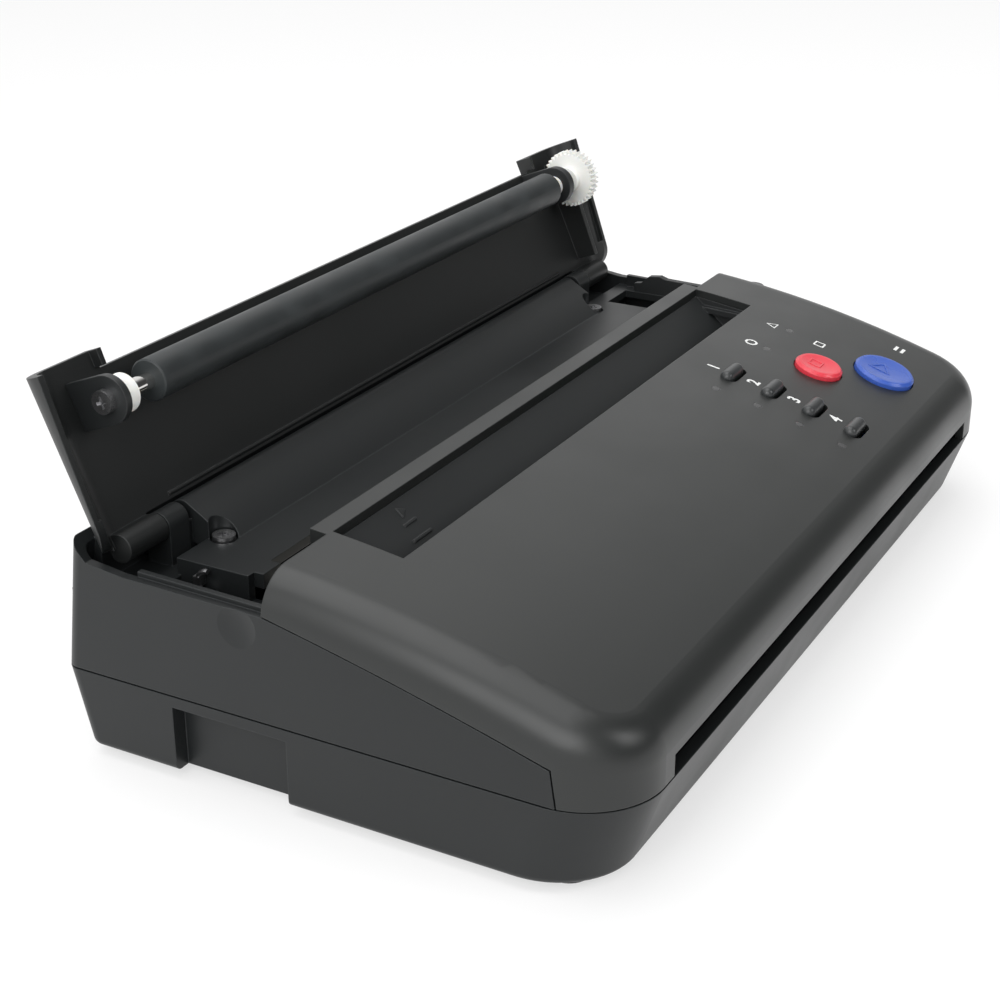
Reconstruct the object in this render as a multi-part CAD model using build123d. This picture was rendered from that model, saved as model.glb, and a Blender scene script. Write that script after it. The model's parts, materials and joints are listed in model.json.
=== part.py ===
from build123d import *
from math import acos, asin, atan2, cos, degrees, hypot, pi, radians, sin, sqrt, tan
import os

# Thermal stencil copier with its rear lid open. Millimetres.
# X runs along the machine, -Y is the side where the copy comes out, Z is up.
# Everything is drawn about the middle of the footprint and moved once, at the end,
# so that the origin lies under the middle of the machine as it stands open.

# ---- casing ----
machine_width = 280.0
half_width = machine_width / 2
machine_depth = 154.0
foot_height = 2.5
parting_height = 23.5
wall = 2.5
front_corner_radius = 20.0
rear_corner_radius = 4.0
base_front_draft = 7.0
base_rear_draft = 5.5
base_edge_radius = 2.0
reveal_height = 0.5
reveal_depth = 0.7

# ---- top cover ----
cover_rear_height = 62.1
cover_front_height = 39.7
cover_crown = 3.3
cover_edge_radius = 11.0
rim_rear_y = 20.8
rim_half_length = half_width - 28.0
cover_rear_y = 16.0
rim_skirt_depth = 9.0
panel_front_y = -59.9
panel_front_top = 33.2
panel_front_lean = 1.6
panel_rear_y = 16.0
panel_rear_top = 51.8
panel_crown = 0.9
panel_gap = 0.35
slot_half_length = half_width - 25.0
slot_height = 6.0
trough_half_length = half_width - 30.0
trough_rear_y = 15.5
trough_front_y = -4.1
trough_ledge_depth = 3.4
trough_ledge_width = 2.0
chute_thickness = 2.0
chute_low_y = -8.6
chute_low_z = 27.8
chute_upper_y = 6.4
chute_upper_z = 51.4
chute_middle_y = -3.2
chute_middle_z = 41.5
chute_rib_spacing = 36.0
symbol_x = 56.5 - half_width
symbol_height = 0.35

# ---- side walls and deck of the middle housing ----
shoulder_y = 56.5
shoulder_height = 52.7
notch_y = 67.0
notch_height = 54.0
rear_top_y = 72.0
rear_top_height = 59.0
locating_rib_height = 1.3
locating_rib_width = 1.4
thumb_scoop_y = 23.0
thumb_scoop_below_edge = 4.2
thumb_scoop_radius = 5.5
thumb_scoop_depth = 1.0
deck_height = 50.0
deck_front_y = 33.8
deck_rear_y = 54.0
deck_left_x = 19.5 - half_width
deck_block_depth = 4.0
guide_foot_y = 48.5
guide_crest_radius = 3.5
guide_half_length = half_width - 32.0
pocket_floor_height = 45.5
gear_window_left_x = half_width - 23.5
gear_window_right_x = half_width - 8.5
gear_window_rear_y = 51.0
gear_window_front_y = 17.5

# ---- hinge and lid ----
hinge_y = 62.5
hinge_z = 55.6
lid_opening_angle = 111.0
lid_rear_height = 59.7
lid_edge_radius = 10.5
lid_gap = 0.5
lid_skirt_gap = 0.5
lid_corner_radius = 7.0
hinge_pin_radius = 1.5
hinge_barrel_radius = 3.7
hinge_knuckle_inner_x = guide_half_length + 2.0
hinge_knuckle_outer_x = guide_half_length + 9.6
hinge_barrel_outer_x = half_width - 7.5
lid_end_radius = 3.5
side_play = 0.4
running_clearance = 0.06
free_gap = 0.3
seat_gap = 0.05
lid_bead_radius = 0.5
lid_bead_ahead = 1.5
lid_rib_x = half_width - 15.0
lid_rib_thickness = 2.0
lid_rib_low = 50.8
lid_rib_rear_y = 56.0
catch_y = 44.0
catch_z = 46.4
catch_radius = 3.2
catch_wire = 0.7
catch_reach = 2.2

# ---- platen roller carried by the lid ----
platen_y = 27.8
platen_z = 48.5
platen_radius = 5.5
platen_left_x = 30.0 - half_width
platen_right_x = half_width - 37.0
platen_shaft_radius = 2.3
bushing_radius = 3.4
left_bushing_radius = 5.0
left_bushing_width = 5.0
bracket_radius = 6.2
bracket_thickness = 2.0
left_bracket_x = 16.4 - half_width
right_bracket_x = half_width - 30.0
platen_gear_x = half_width - 20.8

# ---- gears ----
gear_module = 0.5
gear_width = 4.0
gear_backlash = 0.14
gear_root_clearance = 0.15
pressure_angle = 20.0
platen_gear_teeth = 36
drive_gear_teeth = 48
idler_gear_teeth = 48
feed_gear_teeth = 36
pinion_teeth = 24
axle_radius = 2.0
pinion_direction = -12.0
gear_plate_thickness = 2.0
motor_radius = 14.0
motor_length = 19.0
motor_shaft_radius = 1.5
motor_screw_spacing = 17.0

# ---- feed roller and scanner ----
feed_y = -16.0
feed_z = 33.5
feed_radius = 6.0
feed_half_length = half_width - 34.0
feed_shaft_radius = 2.5
bearing_radius = 4.5
bearing_width = 4.0
scanner_length = machine_width - 64.0
scanner_width = 14.0
scanner_height = 11.0
scanner_glass_thickness = 1.6

# ---- print head ----
head_length = machine_width - 66.0
head_width = 13.0
head_thickness = 1.6
head_glaze_radius = 1.1
heatsink_width = 15.0
heatsink_height = 4.4
heatsink_fin_height = 3.0
heatsink_fin_count = 5
spring_radius = 3.2
spring_wire = 0.8
spring_spacing = head_length / 3

# ---- control panel ----
mode_button_x = half_width - 86.6
mode_button_first_y = -21.2
mode_button_pitch = 13.2
mode_button_count = 4
mode_button_length = 11.5
mode_button_width = 4.6
mode_button_rise = 2.2
mode_window_offset = -13.8
mode_window_radius = 1.3
lamp_y = -21.4
power_lamp_x = half_width - 59.6
error_lamp_x = half_width - 39.6
stop_button_x = half_width - 59.4
stop_button_y = -38.4
stop_button_radius = 7.5
copy_button_x = half_width - 42.2
copy_button_y = -54.2
copy_button_radius = 9.6
round_button_rise = 1.9
button_side_gap = 0.3
button_flange = 1.1
button_flange_thickness = 1.0
button_travel = 0.8
button_board_depth = 11.5
board_thickness = 1.6
board_length = 84.0
board_width = 56.0
board_x = half_width - 65.0
switch_body_size = 6.0
switch_body_height = 3.4
board_stand = 4.0

# ---- rear fittings ----
inlet_x = 36.0 - half_width
inlet_width = 27.0
inlet_height = 14.0
inlet_z = 13.2
inlet_depth = 16.0
inlet_well = 12.0
inlet_flange = 1.6
switch_x = 66.0 - half_width
switch_width = 19.0
switch_height = 13.0
rocker_angle = 9.0

# ---- feet, grip and screws ----
foot_radius = 6.5
foot_x = half_width - 13.0
foot_front_y = -57.0
foot_rear_y = 54.0
foot_recess = 1.0
grip_front_y = 10.8
grip_rear_y = 43.9
grip_top = 20.6
grip_depth = 4.6
rib_y = 42.0
screw_radius = 1.5
screw_head_radius = 3.0
screw_head_height = 2.0
boss_radius = 4.0
screw_bite = 9.0
screw_seat = 4.0
deck_screw_x = guide_half_length - 2.4
deck_screw_y = 51.6
cover_boss_x = half_width - 14.0
cover_boss_front_y = 21.0 - machine_depth / 2
cover_boss_rear_y = 2.0
gear_boss_x = half_width - 8.7
housing_boss_y = machine_depth / 2 - 13.0
housing_boss_x = 24.0
housing_boss_pitch = 72.0

# ---- electronics in the base ----
main_board_left_x = 48.0 - half_width
main_board_right_x = -4.0
main_board_front_y = 13.0 - machine_depth / 2
main_board_rear_y = -28.0
supply_left_x = 28.0 - half_width
supply_right_x = 20.0
supply_front_y = 41.0
supply_rear_y = 57.0

front_y = -machine_depth / 2
rear_y = machine_depth / 2


# ------------------------------------------------------------------ helpers
def across(line, x_low, x_high):
    """A closed outline in the Y-Z plane, drawn as (y, z), pulled along X."""
    return extrude(Plane.YZ.offset(x_low) * make_face(line), amount=x_high - x_low)


def outline(points):
    """Straight closed outline through the given corners."""
    return Polyline(*points, close=True)


def block(x_low, x_high, y_low, y_high, z_low, z_high):
    """Plain box between two corners."""
    size = Box(x_high - x_low, y_high - y_low, z_high - z_low)
    return Pos((x_low + x_high) / 2, (y_low + y_high) / 2, (z_low + z_high) / 2) * size


def rod(radius, x_low, x_high, y, z):
    """Round bar along X."""
    return Pos((x_low + x_high) / 2, y, z) * (Rot(0, 90, 0) * Cylinder(radius, x_high - x_low))


def post(radius, x, y, z_low, z_high):
    """Upright round bar."""
    return Pos(x, y, (z_low + z_high) / 2) * Cylinder(radius, z_high - z_low)


def both_sides(shape):
    """The shape and its mirror image across the middle of the machine."""
    return [shape, mirror(shape, about=Plane.YZ)]


def swung(shape):
    """Moves what is drawn with the lid shut to the open lid."""
    to_hinge = Pos(0, hinge_y, hinge_z)
    return to_hinge * Rot(-lid_opening_angle, 0, 0) * to_hinge.inverse() * shape


# ------------------------------------------------------------------ the curved top
crown_span = hypot(rim_rear_y - front_y, cover_rear_height - cover_front_height)
crown_radius = (crown_span**2 / 4 + cover_crown**2) / (2 * cover_crown)
crown_tilt = atan2(cover_rear_height - cover_front_height, rim_rear_y - front_y)
crown_centre_y = (front_y + rim_rear_y) / 2 + (crown_radius - cover_crown) * sin(crown_tilt)
crown_centre_z = (cover_front_height + cover_rear_height) / 2 - (crown_radius - cover_crown) * cos(crown_tilt)


def top_height(y, inset=0.0):
    """Height of the cover's arc at a depth y, or of the same arc moved inwards."""
    return crown_centre_z + sqrt((crown_radius - inset) ** 2 - (y - crown_centre_y) ** 2)


def top_tilt(y):
    """Angle of the cover's surface at y, in degrees; it rises towards the rear."""
    return degrees(asin((crown_centre_y - y) / crown_radius))


def on_top(x, y):
    """Place on the cover, with local Z square to the surface and local X along the machine."""
    return Pos(x, y, top_height(y)) * Rot(top_tilt(y), 0, 0)


def cover_form(inset):
    """Solid under the cover's arc, with rounded front corners and rounded top edges."""
    low = parting_height - 2 * inset
    back = rim_rear_y + front_corner_radius
    nose = (front_y + inset, top_height(front_y + inset, inset))
    middle_y = (front_y + rim_rear_y) / 2
    sides = [
        Line((back, low), (front_y + inset, low)),
        Line((front_y + inset, low), nose),
        ThreePointArc(nose, (middle_y, top_height(middle_y, inset)), (back, top_height(back, inset))),
        Line((back, top_height(back, inset)), (back, low)),
    ]
    form = across(sides, -half_width + inset, half_width - inset)
    corners = form.edges().filter_by(Axis.Z).group_by(Axis.Y)[0]
    form = fillet(corners, front_corner_radius - inset)
    crown = form.faces().sort_by(Axis.Z)[-1]
    rounded = crown.edges().sort_by(Axis.Y)[:-1]
    return fillet(rounded, cover_edge_radius - inset)


def panel_top_line(gap=0.0):
    """Arc along the top of a side wall, from the front panel end to the cover's rear edge."""
    start = (panel_front_y + panel_front_lean, panel_front_top + gap)
    end = (panel_rear_y, panel_rear_top + gap)
    middle = ((start[0] + end[0]) / 2, (start[1] + end[1]) / 2 + panel_crown)
    return ThreePointArc(start, middle, end)


def panel_outline(gap=0.0):
    """Side view of the region that belongs to the middle housing's side walls."""
    low = parting_height - 1
    nose = (panel_front_y - gap, low)
    start = (panel_front_y + panel_front_lean - gap, panel_front_top + gap)
    arc = ThreePointArc(start, panel_top_line(gap) @ 0.5, (panel_rear_y, panel_rear_top + gap))
    upper = Polyline(
        (panel_rear_y, panel_rear_top + gap),
        (shoulder_y, shoulder_height + gap),
        (notch_y, notch_height + gap),
        (rear_top_y, rear_top_height + gap),
        (rear_y + wall, rear_top_height + gap),
        (rear_y + wall, low),
        nose,
    )
    return [Line(nose, start), arc, upper]


# ------------------------------------------------------------------ casing
def top_cover():
    """Curved moulded cover with the feed trough, the front slot and the button holes."""
    cover = cover_form(0) - cover_form(wall)
    cover -= reveal_cut(cover_form(0), cover_form(reveal_depth))
    cover -= across(panel_outline(panel_gap), -half_width - 1, half_width + 1)
    cover -= block(-half_width - 1, half_width + 1, rim_rear_y, rear_y, 0, 90)
    for end in both_sides(block(rim_half_length, half_width + 1, cover_rear_y, rear_y, 0, 90)):
        cover -= end
    rim_top = top_height(rim_rear_y) - wall / 2
    cover += block(-rim_half_length, rim_half_length, rim_rear_y - wall, rim_rear_y, rim_top - rim_skirt_depth, rim_top)
    cover -= trough_cut()
    slot_top = parting_height + slot_height
    cover -= block(-slot_half_length, slot_half_length, front_y - 1, front_y + 2 * wall, 0, slot_top)
    for place, tool in panel_cuts():
        cover -= place * tool
    cover += button_board_posts()
    for x, y in cover_boss_places():
        cover += post(boss_radius, x, y, parting_height, top_height(y) - wall / 2)
    for x, y in cover_boss_places():
        cover -= post(screw_radius, x, y, parting_height, parting_height + screw_bite + 1)
    return cover


def trough_cut():
    """Vertical cut through the cover for the feed trough."""
    return block(-trough_half_length, trough_half_length, trough_front_y, trough_rear_y, parting_height, 90)


def cover_boss_places():
    """Screw posts that hold the cover down, clear of the paper."""
    front = [(side * cover_boss_x, cover_boss_front_y) for side in (-1, 1)]
    return front + [(-cover_boss_x, cover_boss_rear_y), (gear_boss_x, cover_boss_rear_y + 2)]


def mode_button_places():
    """Middle of each small button on the cover."""
    return [(mode_button_x, mode_button_first_y - i * mode_button_pitch) for i in range(mode_button_count)]


def mode_window_places():
    """Small indicator window at the end of each small button."""
    return [(x + mode_window_offset, y) for x, y in mode_button_places()]


def lamp_places():
    """The two round indicator lamps."""
    return [(power_lamp_x, lamp_y), (error_lamp_x, lamp_y)]


def slot_tool(length, width, height):
    """Upright bar with round ends, centred on its origin."""
    return extrude(SlotOverall(length, width), amount=height / 2, both=True)


def panel_cuts():
    """Placed cutters for every button, window and lamp in the cover."""
    deep = 4 * wall
    cuts = []
    grown = 2 * button_side_gap
    for x, y in mode_button_places():
        cuts.append((on_top(x, y), slot_tool(mode_button_length + grown, mode_button_width + grown, deep)))
    for x, y in mode_window_places() + lamp_places():
        cuts.append((on_top(x, y), Cylinder(mode_window_radius, deep)))
    cuts.append((on_top(stop_button_x, stop_button_y), Cylinder(stop_button_radius + button_side_gap, deep)))
    cuts.append((on_top(copy_button_x, copy_button_y), Cylinder(copy_button_radius + button_side_gap, deep)))
    return cuts


def chute_line(offset=0.0):
    """Side view of the trough's floor, from its rear top edge down to the scanner."""
    drop = offset / 2
    top = (trough_rear_y - seat_gap + offset, top_height(trough_rear_y, wall) - seat_gap - drop)
    upper = (chute_upper_y + offset, chute_upper_z - drop)
    middle = (chute_middle_y + offset, chute_middle_z - drop)
    return Spline(top, upper, middle, (chute_low_y + offset, chute_low_z))


def paper_chute():
    """Curved floor of the feed trough with closed ends, a ledge at each end and ribs below."""
    floor = chute_line()
    under = chute_line(chute_thickness)
    sheet = [floor, Line(floor @ 1, under @ 1), under, Line(floor @ 0, under @ 0)]
    end_x = trough_half_length + chute_thickness
    chute = across(sheet, -end_x, end_x)
    front_y_low = trough_front_y - 1.5
    front_top = top_height(front_y_low, wall) - seat_gap
    cheek = [
        floor,
        Polyline(
            floor @ 1,
            (chute_low_y - 0.8, chute_low_z),
            (chute_low_y - 0.8, chute_low_z + 13),
            (front_y_low, chute_low_z + 22),
            (front_y_low, front_top),
            (trough_rear_y - 4, top_height(trough_rear_y - 4, wall) - seat_gap),
            floor @ 0,
        ),
    ]
    ledge_top = top_height(trough_front_y) - trough_ledge_depth
    ledge = outline(
        [
            (front_y_low, ledge_top),
            (trough_rear_y - 3, ledge_top + 1),
            (trough_rear_y - 4, ledge_top - 1),
            (front_y_low, ledge_top - 2),
        ]
    )
    parts = both_sides(across(cheek, trough_half_length, end_x))
    parts += both_sides(across(ledge, trough_half_length - trough_ledge_width, end_x))
    rib = [under, Polyline(under @ 1, (chute_low_y + 9, chute_low_z), (trough_rear_y, chute_upper_z), under @ 0)]
    rib_places = [(i - 2.5) * chute_rib_spacing for i in range(6)]
    parts += [across(rib, x - 0.8, x + 0.8) for x in rib_places]
    return chute + parts + feed_symbol()


def feed_symbol():
    """Low relief on the trough's floor: an arrow into the machine over a short and a long bar."""
    arrow = Pos(0, 3.4) * (Rot(0, 0, 30) * Triangle(a=3.2, b=3.2, c=3.2))
    marks = arrow + Pos(0, 0) * Rectangle(5.5, 0.8) + Pos(0, -4.6) * Rectangle(8.5, 0.8)
    floor = chute_line()
    middle = floor @ 0.17
    along = floor % 0.17
    slope = degrees(atan2(along.Y, along.X)) + 180
    place = Pos(symbol_x, middle.X, middle.Y) * Rot(slope, 0, 0)
    return place * Pos(0, 0, -0.8) * extrude(marks, amount=0.8 + symbol_height)


def housing_form(inset):
    """Solid of the middle housing's outer walls, with a drafted back."""
    low = parting_height - 2 * inset
    high = rear_top_height
    ahead = panel_front_y + inset
    side = outline([(ahead, low), (rear_y - inset, low), (rear_top_y - inset, high + 1), (ahead, high + 1)])
    form = across(side, -half_width + inset, half_width - inset)
    back = form.faces().sort_by(Axis.Y)[-1]
    upright = [edge for edge in back.edges() if abs((edge % 0.5).X) < 0.5]
    return fillet(upright, rear_corner_radius - inset / 2)


def around_hinge(radius, angle):
    """Point (y, z) at a radius from the hinge axis; the angle starts at the rear and rises."""
    return (hinge_y + radius * cos(radians(angle)), hinge_z + radius * sin(radians(angle)))


guide_rear_y = around_hinge(guide_crest_radius, 30)[0]


def guide_outline():
    """Side view of the deck: flat bed, rounded paper guide about the hinge axis, pocket and rear ledge."""
    under = deck_height - wall
    rest = lid_rest_y()
    bed = Line((deck_front_y, under), (deck_front_y, deck_height))
    flat = Line((deck_front_y, deck_height), (guide_foot_y, deck_height))
    middle = (guide_foot_y + 4.7, deck_height + 3.85)
    brow = (guide_foot_y + 9.9, deck_height + 7.2)
    slope = ThreePointArc((guide_foot_y, deck_height), middle, brow)
    reach = hypot(brow[0] - hinge_y, brow[1] - hinge_z)
    brow_angle = degrees(atan2(brow[1] - hinge_z, brow[0] - hinge_y))
    crest_angle = brow_angle - degrees(acos(guide_crest_radius / reach))
    crest = around_hinge(guide_crest_radius, crest_angle)
    behind = around_hinge(guide_crest_radius, 30)
    rise = Line(brow, crest)
    top = ThreePointArc(crest, around_hinge(guide_crest_radius, 70), behind)
    back = Polyline(
        behind,
        (guide_rear_y, pocket_floor_height),
        (rest, pocket_floor_height),
        (rest, rest_height()),
        (rear_top_y, rest_height()),
        (rear_top_y, pocket_floor_height - wall),
        (guide_rear_y - wall, pocket_floor_height - wall),
        (guide_rear_y - wall, under + 2.0),
        (deck_rear_y + 3.5, under),
        (deck_front_y, under),
    )
    return [bed, flat, slope, rise, top, back]


def rest_height():
    """Top of the ledge that the open lid leans on."""
    return rear_top_height - 1.8


def lid_rest_y():
    """Depth of the ledge's front edge, a free gap behind the open lid's outer face."""
    angle = radians(180 - lid_tilt() - lid_opening_angle)
    out = (lid_outer_distance()) + free_gap
    at_hinge_y = hinge_y + out * sin(angle)
    at_hinge_z = hinge_z - out * cos(angle)
    return at_hinge_y + (rest_height() - at_hinge_z) / tan(angle)


def lid_tilt():
    """Fall of the shut lid's top towards the rear, in degrees."""
    return degrees(atan2(cover_rear_height - lid_rear_height, shoulder_y + 9.5 - rim_rear_y))


def lid_top(y):
    """Height of the shut lid's outer face."""
    return cover_rear_height - (y - rim_rear_y) * tan(radians(lid_tilt()))


def lid_under(y):
    """Height of the shut lid's inner face."""
    return lid_top(y) - wall / cos(radians(lid_tilt()))


def lid_outer_distance():
    """Distance from the hinge axis to the lid's outer face."""
    return (lid_top(hinge_y) - hinge_z) * cos(radians(lid_tilt()))


def middle_housing():
    """Side and rear walls, the deck under the lid, the rounded paper guide and the hinge posts."""
    shell = housing_form(0) - housing_form(wall)
    inner_x = half_width - wall
    shell &= across(panel_outline(), -half_width - 1, half_width + 1)
    shell -= block(-half_width - 1, half_width + 1, front_y, rear_y + 5, 0, parting_height)
    shell -= block(-inner_x, inner_x, front_y, panel_front_y + 2 * wall, 0, 90)
    shell += across(guide_outline(), -guide_half_length, guide_half_length)
    shell += deck_ends()
    shell += hinge_posts()
    shell += locating_ribs()
    for x, y in housing_boss_places():
        shell += post(boss_radius, x, y, parting_height, pocket_floor_height - wall / 2)
        shell -= post(screw_radius, x, y, parting_height, parting_height + screw_bite + 1)
    shell -= roller_gap()
    shell -= reveal_cut(housing_form(0), housing_form(reveal_depth))
    for x in (-deck_screw_x, deck_screw_x):
        shell -= post(screw_head_radius + 0.6, x, deck_screw_y, deck_height - 0.9, deck_height + 6)
        shell -= post(screw_radius + 0.2, x, deck_screw_y, 0, deck_height)
    shell -= thumb_scoop()
    return shell


def deck_ends():
    """Deck beside the paper guide: a block at the left, a full bed with the gear window at the right."""
    under = deck_height - wall
    inner_x = half_width - wall / 2
    left = block(deck_left_x, -guide_half_length, cover_rear_y - 6, deck_rear_y + 1, deck_height - deck_block_depth, deck_height)
    left = fillet(left.edges().filter_by(Axis.Z).sort_by(Axis.X)[:2].sort_by(Axis.Y)[-1:], 2.0)
    right = block(guide_half_length, inner_x, cover_rear_y - 6, deck_rear_y + 1, under, deck_height)
    right -= block(
        gear_window_left_x, gear_window_right_x, gear_window_front_y, gear_window_rear_y, under - 1, deck_height + 1
    )
    floor_low = pocket_floor_height - wall
    floor_left = block(-inner_x, -guide_half_length, deck_rear_y + 1, rear_top_y + 1, floor_low, pocket_floor_height)
    floor_right = block(guide_half_length, inner_x, deck_rear_y + 1, rear_top_y + 1, floor_low, pocket_floor_height)
    riser = block(guide_half_length, inner_x, deck_rear_y, deck_rear_y + wall, floor_low, deck_height)
    left_floor = block(-inner_x, deck_left_x + 1, cover_rear_y - 6, deck_rear_y + 1, floor_low - 8, floor_low - 8 + wall)
    left_riser = block(-inner_x, -guide_half_length, deck_rear_y, deck_rear_y + wall, floor_low - 8, pocket_floor_height)
    left_front = block(-inner_x, deck_left_x + 1, cover_rear_y - 6, cover_rear_y - 6 + wall, floor_low - 8, deck_height)
    left_cheek = block(deck_left_x, deck_left_x + wall, cover_rear_y - 6, deck_rear_y + 1, floor_low - 8, deck_height)
    ledges = both_sides(
        block(guide_half_length, hinge_barrel_outer_x, lid_rest_y(), rear_top_y, floor_low, rest_height())
    )
    return [left, right, floor_left, floor_right, riser, left_floor, left_riser, left_front, left_cheek] + ledges


def housing_boss_places():
    """Screw posts that hold the back of the middle housing down."""
    return [(housing_boss_x + i * housing_boss_pitch, housing_boss_y) for i in (-1, 0, 1)]


def hinge_posts():
    """Two knuckles beside the paper guide that carry the hinge pins."""
    inner = hinge_knuckle_inner_x
    outer = hinge_knuckle_outer_x
    knuckle = rod(hinge_barrel_radius, inner, outer, hinge_y, hinge_z)
    knuckle += block(inner, outer, hinge_y - hinge_barrel_radius, hinge_y + hinge_barrel_radius, pocket_floor_height - 1, hinge_z)
    knuckle += block(guide_half_length - 1, inner, hinge_y - 3, guide_rear_y, pocket_floor_height - 1, hinge_z - 1)
    knuckle -= rod(hinge_pin_radius, inner - 1, outer + 1, hinge_y, hinge_z)
    return both_sides(knuckle)


def locating_rib_line(gap=0.0):
    """Side view of the locating rib, or of the rebate that clears it."""
    low = panel_rear_top - 3 - gap
    return outline(
        [
            (panel_rear_y + 1 - gap, low),
            (shoulder_y - 3.5 + gap, low),
            (shoulder_y - 3.5 + gap, shoulder_height + locating_rib_height + gap),
            (panel_rear_y + 1 - gap, panel_rear_top + locating_rib_height + gap),
        ]
    )


def locating_ribs():
    """Thin rib inside the top edge of each side wall, which locates the shut lid's skirt."""
    inner_x = half_width - wall
    return both_sides(across(locating_rib_line(), inner_x - locating_rib_width, inner_x + 0.2))


def roller_gap():
    """Clearance in the deck for the shut platen roller, its shaft end and its brackets."""
    low = platen_z - platen_radius - 6
    front = platen_y - platen_radius - 1.6
    roller = block(platen_left_x - 0.8, right_bracket_x - 3.5, front, deck_front_y, low, 90)
    bracket_room = bracket_radius + 0.8
    ring = block(right_bracket_x - 3.5, gear_window_left_x + 1, front, platen_y + bracket_room, low, 90)
    notch = platen_shaft_radius + 0.7
    shaft = block(deck_left_x - 1, platen_left_x, platen_y - notch, platen_y + notch, platen_z - notch - 2, 90)
    plug_end = deck_left_x + wall
    room = left_bushing_radius + 0.7
    plug = block(deck_left_x - 1, plug_end, platen_y - room - 0.6, platen_y + room, platen_z - room, 90)
    return [roller, ring, shaft, plug]


def reveal_cut(form, core):
    """Shadow groove round the outside, just above the joint with the base."""
    high = parting_height + reveal_height
    band = block(-half_width, half_width, front_y, rear_y, parting_height, high)
    return (band & form) - core


def thumb_scoop():
    """Shallow dimple in the left wall under the lid's corner."""
    z = panel_rear_top - thumb_scoop_below_edge
    ball = thumb_scoop_radius**2 / (2 * thumb_scoop_depth)
    return Pos(-half_width - ball + thumb_scoop_depth, thumb_scoop_y, z) * Sphere(ball)


def base_form(inset):
    """Solid of the lower base: upright sides, drafted front and back."""
    low = foot_height + inset
    high = parting_height + inset
    side = outline(
        [
            (front_y + base_front_draft + inset, low),
            (rear_y - base_rear_draft - inset, low),
            (rear_y - inset, high),
            (front_y + inset, high),
        ]
    )
    form = across(side, -half_width + inset, half_width - inset)
    front_edges = [e for e in form.faces().sort_by(Axis.Y)[0].edges() if abs((e % 0.5).X) < 0.5]
    form = fillet(front_edges, front_corner_radius - inset)
    rear_edges = [e for e in form.faces().sort_by(Axis.Y)[-1].edges() if abs((e % 0.5).X) < 0.5]
    return fillet(rear_edges, rear_corner_radius - inset / 2)


def lower_base():
    """Open tray with the side grip, screw bosses, ribs and rear cut-outs."""
    base = base_form(0)
    base = fillet(base.faces().sort_by(Axis.Z)[0].edges(), base_edge_radius)
    grip_wall_x = half_width - grip_depth
    inner = base_form(wall) - block(
        -half_width, -grip_wall_x + wall, grip_front_y - wall, grip_rear_y + wall, 0, grip_top + wall
    )
    base -= inner
    base -= block(-half_width - 1, -grip_wall_x, grip_front_y, grip_rear_y, 0, grip_top)
    base += ribs()
    for x, y in base_boss_places():
        base += post(boss_radius, x, y, foot_height + 1, parting_height)
    for x, y in base_boss_places():
        base -= post(screw_head_radius + 0.4, x, y, 0, foot_height + screw_seat)
        base -= post(screw_radius + 0.2, x, y, 0, parting_height)
    for x, y in foot_places():
        base -= post(foot_radius + 0.1, x, y, 0, foot_height + foot_recess)
    base -= rear_cuts()
    return base


def ribs():
    """Stiffening ribs across the floor of the base."""
    low = foot_height + wall / 2
    high = foot_height + wall + 3
    reach = rear_y - 17
    across_base = [block(x - 0.8, x + 0.8, -reach, reach, low, high) for x in (-machine_width / 4, 0)]
    along = half_width - 22
    return across_base + [block(-along, along / 2, y - 0.8, y + 0.8, low, high) for y in (-rib_y, rib_y / 5)]


def base_boss_places():
    """Screw bosses in the base; the first four meet the cover's posts."""
    return cover_boss_places() + housing_boss_places()


def rear_cuts():
    """Openings in the base's back for the power inlet and the switch."""
    inlet = on_back(inlet_x) * Box(inlet_width - 1, inlet_height - 1, 4 * wall)
    switch = on_back(switch_x) * Box(switch_width - 1, switch_height - 1, 4 * wall)
    return [inlet, switch]


def foot_places():
    """Middle of each rubber foot."""
    return [(side * foot_x, y) for side in (-1, 1) for y in (foot_front_y, foot_rear_y)]


def rubber_feet():
    """Four round feet glued into shallow recesses."""
    feet = []
    for x, y in foot_places():
        foot = post(foot_radius, x, y, 0, foot_height + foot_recess)
        feet.append(chamfer(foot.faces().sort_by(Axis.Z)[0].edges(), 0.6))
    return Compound(children=feet)


def screw(x, y, z, length):
    """Pan head screw pointing up from z, with a cross slot under its head."""
    head = post(screw_head_radius, x, y, z, z + screw_head_height)
    cross = [Pos(x, y, z) * Box(*size) for size in ((3.2, 0.8, 1.6), (0.8, 3.2, 1.6))]
    return head - cross + post(screw_radius, x, y, z + screw_head_height, z + length)


def base_screws():
    """Case screws in the bosses of the base."""
    low = foot_height + screw_seat - screw_head_height
    length = parting_height + screw_bite - low
    return Compound(children=[screw(x, y, low, length) for x, y in base_boss_places()])


def deck_screws():
    """Two screws at the ends of the deck, heads up in their recesses."""
    seat = deck_height - 0.9
    screws = []
    for x in (-deck_screw_x, deck_screw_x):
        upright = screw(0, 0, 0, 12)
        screws.append(Pos(x, deck_screw_y, seat + screw_head_height) * (Rot(180, 0, 0) * upright))
    return Compound(children=screws)


# ------------------------------------------------------------------ lid
def lid_form(inset):
    """Solid under the shut lid's top, with rounded long edges at the sides."""
    ahead = cover_rear_y - 6
    behind = rear_y + 6
    low = panel_rear_top - 4
    drop = inset / cos(radians(lid_tilt()))
    side = outline([(ahead, low), (behind, low), (behind, lid_top(behind) - drop), (ahead, lid_top(ahead) - drop)])
    form = across(side, -half_width + inset, half_width - inset)
    crown = form.faces().sort_by(Axis.Z)[-1]
    long_edges = [edge for edge in crown.edges() if abs((edge % 0.5).Y) > 0.5]
    return fillet(long_edges, lid_edge_radius - inset)


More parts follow.
